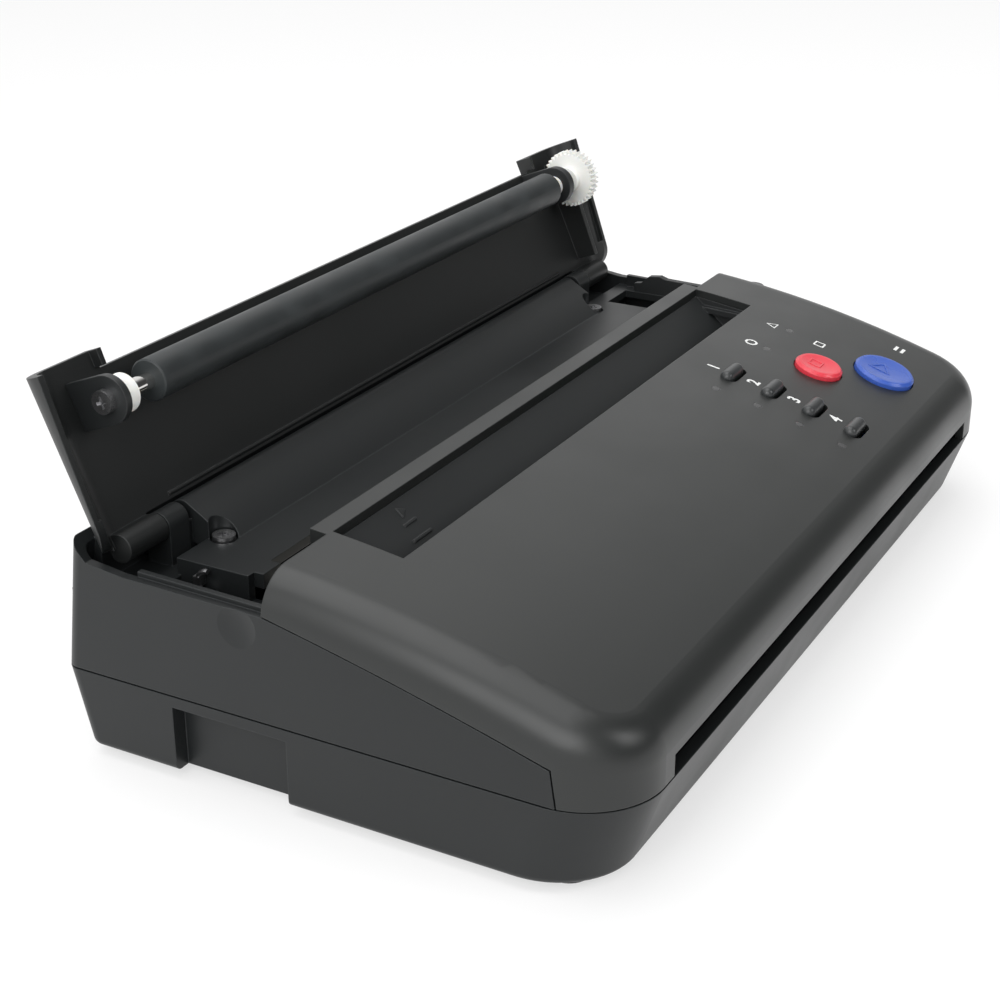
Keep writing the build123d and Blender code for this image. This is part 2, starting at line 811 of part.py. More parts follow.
def rear_lid():
    """Hinged rear lid: thin curved skin with skirts, end tabs, hinge barrels and an inner bead."""
    skin = lid_form(0) - lid_form(wall)
    wide = half_width + 1
    skin -= across(panel_outline(lid_skirt_gap), -wide, wide)
    skin -= block(-wide, wide, 0, cover_rear_y + lid_gap, 0, 90)
    tab_inner = rim_half_length + lid_gap
    skin -= block(-tab_inner, tab_inner, 0, rim_rear_y + lid_gap, 0, 90)
    skin -= block(-wide, wide, hinge_y, rear_y + 10, 0, 90)
    skin -= skirt_corners()
    rib_x = half_width - wall
    rebate = across(locating_rib_line(lid_skirt_gap), rib_x - locating_rib_width - 1, rib_x + 0.2 + free_gap)
    skin -= both_sides(rebate)
    for side in (-1, 1):
        barrel = rod(hinge_barrel_radius, hinge_knuckle_outer_x + side_play, hinge_barrel_outer_x, hinge_y, hinge_z)
        web = block(
            hinge_knuckle_outer_x + side_play, hinge_barrel_outer_x,
            hinge_y - hinge_barrel_radius, hinge_y, hinge_z, lid_top(hinge_y) - wall / 2,
        )
        knuckle = barrel + web
        knuckle &= lid_form(wall / 4)
        skin += knuckle if side > 0 else mirror(knuckle, about=Plane.YZ)
    skin -= both_sides(
        block(
            0, hinge_knuckle_outer_x + side_play,
            hinge_y - hinge_barrel_radius - free_gap, hinge_y + 1, 0, 90,
        )
    )
    skin -= both_sides(
        rod(hinge_pin_radius + running_clearance, rim_half_length, hinge_barrel_outer_x - 1, hinge_y, hinge_z)
    )
    bead_y = hinge_y - hinge_barrel_radius - free_gap - lid_bead_ahead
    skin += rod(lid_bead_radius, -guide_half_length, guide_half_length, bead_y, lid_under(bead_y) - 0.1)
    skin += lid_ribs()
    return skin


def skirt_corners():
    """Rounds off the rear corners of each side skirt, beyond the hinge barrels."""
    low = shoulder_height + lid_skirt_gap
    outer = half_width + 1
    corners = []
    for radius, z, away in ((lid_corner_radius, low, 1), (lid_end_radius, lid_top(hinge_y), -1)):
        y = hinge_y - radius
        centre_z = z + away * radius
        heights = sorted((z - 2 * away, centre_z))
        corner = block(barrel_end() + 1, outer, y, hinge_y + 1, heights[0], heights[1])
        corners += both_sides(corner - rod(radius, barrel_end(), outer + 1, y, centre_z))
    return corners


def barrel_end():
    """Outer end of the hinge barrels."""
    return hinge_barrel_outer_x


def lid_ribs():
    """Low ribs at the inner edges of the end tabs and the tall rib beside the platen gear."""
    low = lid_under(rim_rear_y) - 2.6
    rib = block(
        rim_half_length + lid_gap, rim_half_length + lid_gap + 1.6,
        cover_rear_y + lid_gap, rim_rear_y, low, lid_under(rim_rear_y) + wall / 2,
    )
    ahead = platen_y - bracket_radius
    side = outline(
        [
            (ahead, lid_rib_low),
            (lid_rib_rear_y, lid_rib_low),
            (lid_rib_rear_y, lid_top(lid_rib_rear_y) - wall / 2),
            (ahead, lid_top(ahead) - wall / 2),
        ]
    )
    return both_sides(rib) + [across(side, lid_rib_x, lid_rib_x + lid_rib_thickness)]


def bracket(x_low, x_high):
    """Upright plate under the shut lid with a round end about the platen axis."""
    ahead = platen_y - bracket_radius
    behind = platen_y + bracket_radius
    side = outline([(ahead, platen_z), (ahead, lid_under(ahead)), (behind, lid_under(behind)), (behind, platen_z)])
    return rod(bracket_radius, x_low, x_high, platen_y, platen_z) + across(side, x_low, x_high)


def left_bracket():
    """Black end plate at the left with a hole for the bushing's screw."""
    plate = bracket(left_bracket_x - bracket_thickness, left_bracket_x)
    return plate - rod(screw_radius + 0.1, left_bracket_x - 5, left_bracket_x + 1, platen_y, platen_z)


def right_bracket():
    """Black ring bracket at the right."""
    plate = bracket(right_bracket_x - bracket_thickness, right_bracket_x + bracket_thickness / 2)
    return plate - rod(bushing_radius, right_bracket_x - 5, right_bracket_x + 5, platen_y, platen_z)


def bracket_screws():
    """Screw at the left end of the platen axis."""
    lying = Rot(0, 90, 0) * screw(0, 0, 0, 6.5)
    return Pos(left_bracket_x - bracket_thickness - screw_head_height, platen_y, platen_z) * lying


def platen_bushings():
    """White plastic bushings: a round plug at the left, a ring at the right."""
    left_end = left_bracket_x + left_bushing_width
    left = rod(left_bushing_radius, left_bracket_x, left_end, platen_y, platen_z)
    left = chamfer(left.faces().sort_by(Axis.X)[-1].edges(), 0.5)
    left -= rod(platen_shaft_radius + running_clearance, left_bracket_x + 3, left_end + 1, platen_y, platen_z)
    left -= rod(screw_radius, left_bracket_x - 1, left_bracket_x + 2.9, platen_y, platen_z)
    low = right_bracket_x - bracket_thickness - 1
    high = right_bracket_x + bracket_thickness / 2
    right = rod(bushing_radius, low, high, platen_y, platen_z)
    right -= rod(platen_shaft_radius + running_clearance, low - 5, high + 5, platen_y, platen_z)
    return Compound(children=[left, right])


def platen_roller():
    """Black rubber sleeve that presses the paper on the print head."""
    sleeve = rod(platen_radius, platen_left_x, platen_right_x, platen_y, platen_z)
    sleeve = chamfer(sleeve.edges(), 0.4)
    return sleeve - rod(platen_shaft_radius, platen_left_x - 1, platen_right_x + 1, platen_y, platen_z)


def platen_shaft():
    """Plated steel shaft through the platen roller."""
    left = left_bracket_x + 3.2
    return rod(platen_shaft_radius, left, platen_gear_x + gear_width + 1.0, platen_y, platen_z)


# ------------------------------------------------------------------ gears
def tip_radius(teeth):
    """Outside radius of a gear."""
    return gear_module * (teeth / 2 + 1)


def gear_outline(teeth, phase):
    """Closed line of straight-flanked teeth; the first tooth points along the phase angle."""
    pitch_radius = gear_module * teeth / 2
    root_radius = pitch_radius - gear_module - gear_root_clearance
    half_pitch_tooth = (gear_module * pi / 2 - gear_backlash) / 2
    flank = tan(radians(pressure_angle))
    tip_half = (half_pitch_tooth - gear_module * flank) / tip_radius(teeth)
    root_half = (half_pitch_tooth + gear_module * flank) / root_radius
    points = []
    for i in range(teeth):
        middle = radians(phase) + 2 * pi * i / teeth
        for radius, turn in (
            (root_radius, -root_half), (tip_radius(teeth), -tip_half), (tip_radius(teeth), tip_half), (root_radius, root_half)
        ):
            points.append((radius * cos(middle + turn), radius * sin(middle + turn)))
    return outline(points)


def gear(teeth, phase, x_low, y, z, bore, hub=0.0, web=True):
    """Spur gear on an X axis with a bore and, if asked, a thinned web between rim and hub."""
    wheel = across(gear_outline(teeth, phase), x_low, x_low + gear_width)
    hub_radius = bore + 2.0
    rim_inner = gear_module * teeth / 2 - 3 * gear_module
    if web and rim_inner > hub_radius + 1.5:
        for x in (x_low - 1, x_low + gear_width - 1.2):
            dish = rod(rim_inner, x, x + 2.2, 0, 0) - rod(hub_radius, x, x + 2.2, 0, 0)
            wheel -= dish
    if hub:
        wheel += rod(hub_radius, x_low - hub, x_low, 0, 0)
    wheel -= rod(bore, x_low - hub - 1, x_low + gear_width + 1, 0, 0)
    return Pos(0, y, z) * wheel


def centre_distance(teeth_a, teeth_b):
    """Distance between the axes of two meshing gears."""
    return gear_module * (teeth_a + teeth_b) / 2


def meshing_phase(teeth_a, phase_a, direction, teeth_b):
    """Phase of gear b so that a gap of b faces a tooth of a, with b lying along direction from a."""
    pitch_a = 360 / teeth_a
    offset = (phase_a - direction + pitch_a / 2) % pitch_a - pitch_a / 2
    return direction + 180 - offset * teeth_a / teeth_b + 180 / teeth_b


drive_y = platen_y
drive_z = platen_z - centre_distance(platen_gear_teeth, drive_gear_teeth)
drive_phase = 90.0
platen_gear_phase = meshing_phase(drive_gear_teeth, drive_phase, 90.0, platen_gear_teeth)
pinion_y = drive_y + centre_distance(drive_gear_teeth, pinion_teeth) * cos(radians(pinion_direction))
pinion_z = drive_z + centre_distance(drive_gear_teeth, pinion_teeth) * sin(radians(pinion_direction))
pinion_phase = meshing_phase(drive_gear_teeth, drive_phase, pinion_direction, pinion_teeth)
feed_span = hypot(feed_y - drive_y, feed_z - drive_z)
feed_direction = degrees(atan2(feed_z - drive_z, feed_y - drive_y))
to_idler = centre_distance(drive_gear_teeth, idler_gear_teeth)
from_idler = centre_distance(idler_gear_teeth, feed_gear_teeth)
idler_corner = (to_idler**2 + feed_span**2 - from_idler**2) / (2 * to_idler * feed_span)
idler_direction = feed_direction + degrees(atan2(sqrt(1 - idler_corner**2), idler_corner))
idler_y = drive_y + to_idler * cos(radians(idler_direction))
idler_z = drive_z + to_idler * sin(radians(idler_direction))
idler_phase = meshing_phase(drive_gear_teeth, drive_phase, idler_direction, idler_gear_teeth)
idler_to_feed = degrees(atan2(feed_z - idler_z, feed_y - idler_y))
feed_phase = meshing_phase(idler_gear_teeth, idler_phase, idler_to_feed, feed_gear_teeth)


def platen_gear():
    """White gear on the platen shaft that drops into the gear window."""
    x = platen_gear_x
    return gear(platen_gear_teeth, platen_gear_phase, x, platen_y, platen_z, platen_shaft_radius, 2.4, web=False)


def drive_gear():
    """Large gear under the gear window."""
    return gear(drive_gear_teeth, drive_phase, platen_gear_x, drive_y, drive_z, axle_radius + running_clearance)


def idler_gear():
    """Gear between the drive gear and the feed roller's gear."""
    return gear(idler_gear_teeth, idler_phase, platen_gear_x, idler_y, idler_z, axle_radius + running_clearance)


def feed_gear():
    """Gear on the end of the feed roller's shaft."""
    return gear(feed_gear_teeth, feed_phase, platen_gear_x, feed_y, feed_z, feed_shaft_radius)


def motor_pinion():
    """Brass pinion on the motor shaft."""
    return gear(pinion_teeth, pinion_phase, platen_gear_x, pinion_y, pinion_z, motor_shaft_radius)


gear_plate_x = platen_gear_x - gear_plate_thickness - 1.0


def gear_plate():
    """Steel side plate that carries the motor and the gear axles, standing in the base."""
    low = foot_height + wall
    top = deck_height - wall - free_gap
    side = outline(
        [
            (feed_y - 10, low),
            (pinion_y + motor_screw_spacing, low),
            (pinion_y + motor_screw_spacing, pinion_z + 8),
            (drive_y + 9, drive_z + 12),
            (drive_y + 9, platen_z - bracket_radius - 3),
            (drive_y - 10, platen_z - bracket_radius - 3),
            (feed_y + 10, feed_z + 7),
            (feed_y - 10, feed_z + 7),
        ]
    )
    plate = across(side, gear_plate_x, gear_plate_x + gear_plate_thickness)
    plate -= rod(bearing_radius, 0, half_width, feed_y, feed_z)
    plate -= rod(motor_shaft_radius + 1.5, 0, half_width, pinion_y, pinion_z)
    plate -= [
        rod(screw_radius, 0, half_width, pinion_y + side_sign * motor_screw_spacing * 0.7, pinion_z)
        for side_sign in (-1, 1)
    ]
    plate -= block(gear_plate_x - 1, gear_plate_x + 5, feed_y + 10, drive_y - 18, low + 4, low + 12)
    foot = block(gear_plate_x - 8, gear_plate_x, feed_y - 10, pinion_y + motor_screw_spacing, low, low + gear_plate_thickness)
    return plate + foot


def gear_axles():
    """Fixed steel axles of the drive and idler gears."""
    end = platen_gear_x + gear_width + 1.5
    return Compound(
        children=[
            rod(axle_radius, gear_plate_x + gear_plate_thickness, end, drive_y, drive_z),
            rod(axle_radius, gear_plate_x + gear_plate_thickness, end, idler_y, idler_z),
        ]
    )


def drive_motor():
    """Round stepping motor with a flange, bolted behind the gear plate."""
    body = rod(motor_radius, gear_plate_x - motor_length, gear_plate_x, pinion_y, pinion_z)
    flange_y = motor_screw_spacing * 0.7
    flange = block(
        gear_plate_x - 1.2, gear_plate_x, pinion_y - flange_y - 3, pinion_y + flange_y + 3, pinion_z - 5, pinion_z + 5
    )
    boss = rod(motor_shaft_radius + 1.2, gear_plate_x, gear_plate_x + 1.5, pinion_y, pinion_z)
    motor = body + flange + boss
    return motor - rod(motor_shaft_radius + running_clearance, gear_plate_x - 8, half_width, pinion_y, pinion_z)


def motor_shaft():
    """Steel shaft of the motor."""
    return rod(motor_shaft_radius, gear_plate_x - 7, platen_gear_x + gear_width + 1, pinion_y, pinion_z)


# ------------------------------------------------------------------ feed roller and scanner
def feed_roller():
    """Rubber sleeve that draws the drawing over the scanner."""
    sleeve = rod(feed_radius, -feed_half_length, feed_half_length, feed_y, feed_z)
    return sleeve - rod(feed_shaft_radius, -half_width, half_width, feed_y, feed_z)


def feed_shaft():
    """Steel shaft of the feed roller."""
    return rod(feed_shaft_radius, -gear_plate_x - 4, platen_gear_x + gear_width + 1, feed_y, feed_z)


def feed_bearings():
    """Plastic bearings of the feed roller: one in the gear plate, one in the left post."""
    rings = []
    for low in (gear_plate_x - bearing_width + gear_plate_thickness, -gear_plate_x - gear_plate_thickness):
        ring = rod(bearing_radius, low, low + bearing_width, feed_y, feed_z)
        rings.append(ring - rod(feed_shaft_radius + running_clearance, low - 1, low + bearing_width + 1, feed_y, feed_z))
    return Compound(children=rings)


def left_roller_post():
    """Steel post at the left that carries the feed roller's bearing."""
    low = foot_height + wall
    x = -gear_plate_x - gear_plate_thickness
    side = outline([(feed_y - 10, low), (feed_y + 10, low), (feed_y + 7, feed_z + 7), (feed_y - 7, feed_z + 7)])
    plate = across(side, x, x + gear_plate_thickness)
    foot = block(x, x + 10, feed_y - 10, feed_y + 10, low, low + gear_plate_thickness)
    return plate + foot - rod(bearing_radius, x - 1, x + 3, feed_y, feed_z)


def scan_sensor():
    """Contact image sensor bar under the feed roller, on two stands."""
    top = feed_z - feed_radius - free_gap
    half = scanner_length / 2
    low = top - scanner_height
    bar = block(-half, half, feed_y - scanner_width / 2, feed_y + scanner_width / 2, low, top)
    groove = scanner_width / 2 - 2
    bar -= block(-half + 3, half - 3, feed_y - groove, feed_y + groove, top - scanner_glass_thickness, top + 1)
    bar -= block(-half + 6, half - 6, feed_y - groove + 1.5, feed_y + groove - 1.5, low - 1, top - 5)
    for x in (-half + 14, half - 14):
        bar += block(x - 5, x + 5, feed_y - 5, feed_y + 5, foot_height + wall, low + 1)
        bar += block(x - 5, x + 5, feed_y - groove, feed_y + groove, low, top - 5)
    return bar


def scan_glass():
    """Glass strip that the drawing slides over."""
    top = feed_z - feed_radius - free_gap
    half = scanner_length / 2
    groove = scanner_width / 2 - 2
    return block(-half + 3, half - 3, feed_y - groove, feed_y + groove, top - scanner_glass_thickness, top)


def exit_guide():
    """Shelf that leads the paper from the scanner to the front slot."""
    shelf_y = front_y + 3 * wall
    rear = feed_y - scanner_width / 2
    top = feed_z - feed_radius - free_gap - 1
    low_front = parting_height
    shelf = across(
        outline([(shelf_y, low_front), (rear, top), (rear, top - 2), (shelf_y, low_front - 2)]), -slot_half_length + 2, slot_half_length - 2
    )
    legs = [block(x - 1, x + 1, rear - 16, rear - 8, foot_height + wall, parting_height - 1) for x in (16 - slot_half_length, 3, slot_half_length - 16)]
    return shelf + legs


# ------------------------------------------------------------------ print head
def head_top():
    """Height of the print line, a free gap under the shut platen roller."""
    return platen_z - platen_radius - free_gap


def print_head():
    """Ceramic head with the raised heating line."""
    top = head_top()
    half = head_length / 2
    plate = block(-half, half, platen_y - head_width / 2, platen_y + head_width / 2, top - head_thickness, top - 0.3)
    glaze = rod(head_glaze_radius, -half, half, platen_y, top - head_glaze_radius)
    glaze &= block(-half, half, platen_y - head_width / 2, platen_y + head_width / 2, top - head_thickness, top + 1)
    return plate + glaze


def head_heatsink():
    """Extruded aluminium carrier with fins under the print head."""
    top = head_top() - head_thickness
    half = head_length / 2 + 1
    low = top - heatsink_height
    body = block(-half, half, platen_y - heatsink_width / 2, platen_y + heatsink_width / 2, low, top)
    pitch = heatsink_width / heatsink_fin_count
    for i in range(heatsink_fin_count - 1):
        y = platen_y + (i - (heatsink_fin_count - 2) / 2) * pitch
        body -= block(-half - 1, half + 1, y - 0.7, y + 0.7, low - 1, low + heatsink_fin_height - 1)
    return body


def head_springs():
    """Compression springs under the heatsink, drawn as tubes."""
    top = head_top() - head_thickness - heatsink_height
    low = foot_height + wall + 14
    springs = []
    for x in (-spring_spacing, 0, spring_spacing):
        tube = post(spring_radius, x, platen_y, low, top) - post(spring_radius - spring_wire, x, platen_y, low - 1, top + 1)
        springs.append(tube)
    return Compound(children=springs)


def spring_bridge():
    """Steel channel across the base that the head springs stand on."""
    low = foot_height + wall
    high = low + 14
    half = spring_spacing + 22
    bridge = block(-half, half, platen_y - 7, platen_y + 7, high - 1.5, high)
    for x in (-half + 1, -half / 3, half / 3, half - 1):
        bridge += block(x - 1, x + 1, platen_y - 7, platen_y + 7, low, high)
    pins = [post(spring_radius - spring_wire - 0.3, x, platen_y, high, high + 4) for x in (-spring_spacing, 0, spring_spacing)]
    return bridge + pins


# ------------------------------------------------------------------ control panel
def board_place():
    """Middle of the button board, square to the cover at the middle of the controls."""
    y = (mode_button_first_y + copy_button_y) / 2
    return Pos(board_x, y, top_height(y)) * Rot(top_tilt(y), 0, 0) * Pos(0, 0, -button_board_depth)


def button_board():
    """Circuit board under the buttons."""
    return board_place() * (Pos(0, 0, -board_thickness / 2) * Box(board_length, board_width, board_thickness))


def button_board_posts():
    """Four posts under the cover that the button board is screwed to."""
    posts = []
    for across_x in (-board_length / 2 + 2.6, board_length / 2 - 2.6):
        for along in (-board_width / 2 + 2.6, board_width / 2 - 2.6):
            sag = crown_radius - sqrt(crown_radius**2 - along**2)
            height = button_board_depth - sag - wall / 2
            posts.append(board_place() * (Pos(across_x, along, height / 2) * Cylinder(2.0, height)))
    return posts


def depth_to_board(x, y):
    """Distance along the local surface normal from the cover to the top of the button board."""
    board_y = (mode_button_first_y + copy_button_y) / 2
    board_tilt = radians(top_tilt(board_y))
    normal = radians(top_tilt(y))
    ahead_y = y - board_y
    ahead_z = top_height(y) - top_height(board_y)
    above = -ahead_y * sin(board_tilt) + ahead_z * cos(board_tilt) + button_board_depth
    return above / cos(normal - board_tilt)


def all_buttons():
    """Every button as (name, x, y, outline, rise)."""
    buttons = []
    for i, (x, y) in enumerate(mode_button_places()):
        buttons.append((f"mode_button_{i + 1}", x, y, "slot", mode_button_rise))
    buttons.append(("stop_button", stop_button_x, stop_button_y, stop_button_radius, round_button_rise))
    buttons.append(("copy_button", copy_button_x, copy_button_y, copy_button_radius, round_button_rise))
    return buttons


def button_cap(x, y, form, rise):
    """Cap with a flange under the cover and a stem that ends just above its switch."""
    flange_top = -wall - 0.3
    if form == "slot":
        cap = slot_tool(mode_button_length, mode_button_width, 2 * rise)
        cap = fillet(cap.faces().sort_by(Axis.Z)[-1].edges(), 1.2)
        cap += Pos(0, 0, flange_top / 2) * slot_tool(mode_button_length, mode_button_width, -flange_top)
        brim = slot_tool(
            mode_button_length + 2 * button_flange, mode_button_width + 2 * button_flange, button_flange_thickness
        )
    else:
        height = rise - flange_top
        cap = Pos(0, 0, (rise + flange_top) / 2) * Cylinder(form, height)
        cap = chamfer(cap.faces().sort_by(Axis.Z)[-1].edges(), 0.8)
        dish = (form - 1.6) ** 2 / (2 * 0.45)
        cap -= Pos(0, 0, rise + dish - 0.45) * Sphere(dish)
        brim = Cylinder(form + button_flange, button_flange_thickness)
    cap += Pos(0, 0, flange_top - button_flange_thickness / 2) * brim
    stem_end = -depth_to_board(x, y) + switch_body_height + 1.0 + button_travel + 0.1
    stem_top = flange_top - button_flange_thickness / 2
    cap += Pos(0, 0, (stem_end + stem_top) / 2) * Cylinder(1.6, stem_top - stem_end)
    return on_top(x, y) * cap


def tact_switches():
    """A small switch on the board under every button."""
    switches = []
    for _, x, y, _, _ in all_buttons():
        depth = depth_to_board(x, y)
        body = Pos(0, 0, -depth + switch_body_height / 2 + 0.2) * Box(
            switch_body_size, switch_body_size, switch_body_height - 0.4
        )
        plunger = Pos(0, 0, -depth + switch_body_height + 0.4) * Cylinder(1.5, 1.2)
        switches.append(on_top(x, y) * (body + plunger))
    return Compound(children=switches)


def indicator_windows():
    """Clear rods in the small holes beside the mode buttons."""
    rods = []
    for x, y in mode_window_places():
        rods.append(on_top(x, y) * Pos(0, 0, -wall) * Cylinder(mode_window_radius - 0.02, 2 * wall))
    return Compound(children=rods)


def status_lamps():
    """Round lamps for power and fault."""
    rods = []
    for x, y in lamp_places():
        rods.append(on_top(x, y) * Pos(0, 0, -wall) * Cylinder(mode_window_radius - 0.02, 2 * wall))
    return Compound(children=rods)


# ------------------------------------------------------------------ electronics
def main_board():
    """Control board on the floor of the base, under the exit guide."""
    floor = foot_height + wall
    low = floor + board_stand
    left, right = main_board_left_x, main_board_right_x
    front, rear = main_board_front_y, main_board_rear_y
    board = block(left, right, front, rear, low, low + board_thickness)
    legs = [post(2.2, x, y, floor, low) for x in (left + 4, right - 4) for y in (front + 3, rear - 3)]
    return board + legs


def board_parts():
    """Tall parts on the control board: processor, connectors, coil and capacitors."""
    low = foot_height + wall + board_stand + board_thickness
    left, right = main_board_left_x, main_board_right_x
    middle = (main_board_front_y + main_board_rear_y) / 2
    processor = block(left + 32, left + 50, middle - 8, middle + 10, low, low + 1.8)
    sockets = [
        block(left + 1, left + 7, middle - 10, middle + 10, low, low + 6),
        block(right - 30, right - 4, main_board_rear_y - 6, main_board_rear_y - 1, low, low + 6),
    ]
    coil = block(right - 18, right - 6, middle - 10, middle + 2, low, low + 5.5)
    capacitors = [post(3.2, left + 16 + i * 8, middle - 1, low, low + 6.5) for i in range(2)]
    return Compound(children=[processor, coil] + sockets + capacitors)


def power_supply():
    """Mains supply board with its transformer and capacitor."""
    low = foot_height + wall + board_stand
    left, right, front, rear = supply_left_x, supply_right_x, supply_front_y, supply_rear_y
    board = block(left, right, front, rear, low, low + board_thickness)
    legs = [block(x - 2, x + 2, front + 2, rear - 2, foot_height + wall, low) for x in (left + 4, right - 6)]
    top = low + board_thickness
    transformer = block(right - 70, right - 48, front + 1, rear - 1, top, top + 13)
    capacitor = post(5, right - 34, (front + rear) / 2, top, top + 14)
    coil = block(right - 20, right - 6, front + 3, rear - 3, top, top + 9)
    return board + legs + transformer + capacitor + coil


def on_back(x):
    """Place on the base's drafted back at the height of the inlet, with local Z pointing out."""
    height = parting_height - foot_height
    back_y = rear_y - base_rear_draft * (parting_height - inlet_z) / height
    lean = degrees(atan2(base_rear_draft, height))
    return Pos(x, back_y, inlet_z) * Rot(-90 - lean, 0, 0)


def power_inlet():
    """Three-pole appliance inlet with its flange on the back."""
    flange = Box(inlet_width + 2 * inlet_flange, inlet_height + 2 * inlet_flange, inlet_flange)
    flange = fillet(flange.edges().filter_by(Axis.Z), 2.0)
    body = Pos(0, 0, -inlet_depth / 2) * Box(inlet_width - 1, inlet_height - 1, inlet_depth)
    well = Pos(0, 0, -inlet_well) * extrude(Rectangle(inlet_width - 5, inlet_height - 4.5), amount=2 * inlet_well)
    inlet = Pos(0, 0, inlet_flange / 2) * flange + body
    inlet -= well
    for x, y in ((-6.5, -1.2), (6.5, -1.2), (0, 1.8)):
        inlet += Pos(x, y, -inlet_well + 3.6) * Box(1.6, 3.6, 7.6)
    return on_back(inlet_x) * inlet


def switch_frame():
    """Frame of the rocker power switch."""
    flange = Box(switch_width + 2 * inlet_flange, switch_height + 2 * inlet_flange, inlet_flange)
    flange = fillet(flange.edges().filter_by(Axis.Z), 1.2)
    body = Pos(0, 0, -6) * Box(switch_width - 1, switch_height - 1, 12)
    well = Pos(0, 0, -2) * Box(switch_width - 3.6, switch_height - 3.6, 9)
    frame = Pos(0, 0, inlet_flange / 2) * flange + body - well
    return on_back(switch_x) * frame


def power_rocker():
    """Rocker that tips about its middle; it stands pressed to one side."""
    half = (switch_width - 3.6) / 2 - 0.5
    profile = Polyline((-half, 2.6), (0, 1.4), (half, 2.6), (half * 0.7, -2.6), (-half * 0.7, -2.6), close=True)
    width = switch_height - 3.6 - 0.8
    bar = extrude(Plane.XZ * make_face(profile), amount=width / 2, both=True)
    return on_back(switch_x) * (Pos(0, 0, 0.6) * (Rot(0, rocker_angle, 0) * bar))


# ------------------------------------------------------------------ small fittings on the deck
def hinge_pins():
    """Steel pins through the knuckles and the lid's barrels."""
    pins = both_sides(
        rod(hinge_pin_radius, hinge_knuckle_inner_x, hinge_barrel_outer_x - 2, hinge_y, hinge_z)
    )
    return Compound(children=pins)


def gear_guard():
    """Black guard rail along the gear window at the right."""
    ahead = cover_rear_y - 2
    side = outline(
        [
            (ahead, deck_height),
            (ahead, deck_height + 5.2),
            (36.0, deck_height + 5.8),
            (38.5, deck_height + 6.6),
            (42.5, deck_height + 6.1),
            (45.5, deck_height + 3.4),
            (48.0, deck_height + 3.0),
            (48.0, deck_height),
        ]
    )
    return across(side, gear_window_right_x + 0.2, gear_window_right_x + 2.5)


def lid_catch():
    """Small sprung wire hook in the slot at the left, with the foot that holds it to the block."""
    x = deck_left_x - catch_reach
    ring = Pos(x, catch_y, catch_z) * (Rot(0, 90, 0) * Torus(catch_radius, catch_wire))
    gap = 1.5 * catch_radius
    ring -= block(x - 2, x + 2, catch_y - gap, catch_y, catch_z - gap, catch_z + gap)
    rear = catch_y + catch_radius
    return ring + block(x - catch_wire, deck_left_x, rear - 0.9, rear + 0.9, catch_z - 1.4, catch_z + 1.4)


def build_all():
    """Every sub-part by node name."""
    parts = {
        "lower_base": lower_base(),
        "middle_housing": middle_housing(),
        "top_cover": top_cover(),
        "paper_chute": paper_chute(),
        "rubber_feet": rubber_feet(),
        "base_screws": base_screws(),
        "deck_screws": deck_screws(),
        "hinge_pins": hinge_pins(),
        "gear_guard": gear_guard(),
        "lid_catch": lid_catch(),
        "print_head": print_head(),
        "head_heatsink": head_heatsink(),
        "head_springs": head_springs(),
        "spring_bridge": spring_bridge(),
        "scan_sensor": scan_sensor(),
        "scan_glass": scan_glass(),
        "exit_guide": exit_guide(),
        "main_board": main_board(),
        "board_parts": board_parts(),
        "power_supply": power_supply(),
        "button_board": button_board(),
        "tact_switches": tact_switches(),
        "indicator_windows": indicator_windows(),
        "status_lamps": status_lamps(),
        "power_inlet": power_inlet(),
        "switch_frame": switch_frame(),
        "power_rocker": power_rocker(),
        "gear_plate": gear_plate(),
        "gear_axles": gear_axles(),
        "drive_motor": drive_motor(),
        "left_roller_post": left_roller_post(),
        "feed_bearings": feed_bearings(),
        "feed_roller": feed_roller(),
        "feed_shaft": feed_shaft(),
        "feed_gear": feed_gear(),
        "idler_gear": idler_gear(),
        "drive_gear": drive_gear(),
        "motor_pinion": motor_pinion(),
        "motor_shaft": motor_shaft(),
    }
    for name, x, y, form, rise in all_buttons():
        parts[name] = button_cap(x, y, form, rise)
    shut = {
        "rear_lid": rear_lid(),
        "left_bracket": left_bracket(),
        "right_bracket": right_bracket(),
        "bracket_screws": bracket_screws(),
        "platen_bushings": platen_bushings(),
        "platen_roller": platen_roller(),
        "platen_shaft": platen_shaft(),
        "platen_gear": platen_gear(),
    }
    for name, shape in shut.items():
        parts[name] = swung(shape)
    return parts


def whole(shape):
    """One shape made of the solids of a part, however it was put together."""
    solids = shape.solids()
    return solids[0] if len(solids) == 1 else Compound(solids)


parts = {name: whole(shape) for name, shape in build_all().items()}
lid_box = parts["rear_lid"].bounding_box()
origin_y = (front_y + lid_box.max.Y) / 2
os.makedirs("parts", exist_ok=True)
for name, shape in parts.items():
    export_step(shape.moved(Location((0, -origin_y, 0))), f"parts/{name}.step")
print("parts", len(parts), "origin moved back by", round(origin_y, 3))
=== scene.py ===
# %% [markdown]
# # A thermal stencil copier with its lid open
#
# The machine is a moulded black case about 28 cm long. A curved cover slopes down to the
# front, a hinged lid stands open at the back, and the lid carries a rubber roller with a white
# gear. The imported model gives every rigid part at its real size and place, in metres. This
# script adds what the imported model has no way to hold: the finishes, the printed marks, the
# light and the camera.

# %% Load the frame
import json
import bpy
import numpy as np
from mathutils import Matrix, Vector
from mathutils.bvhtree import BVHTree


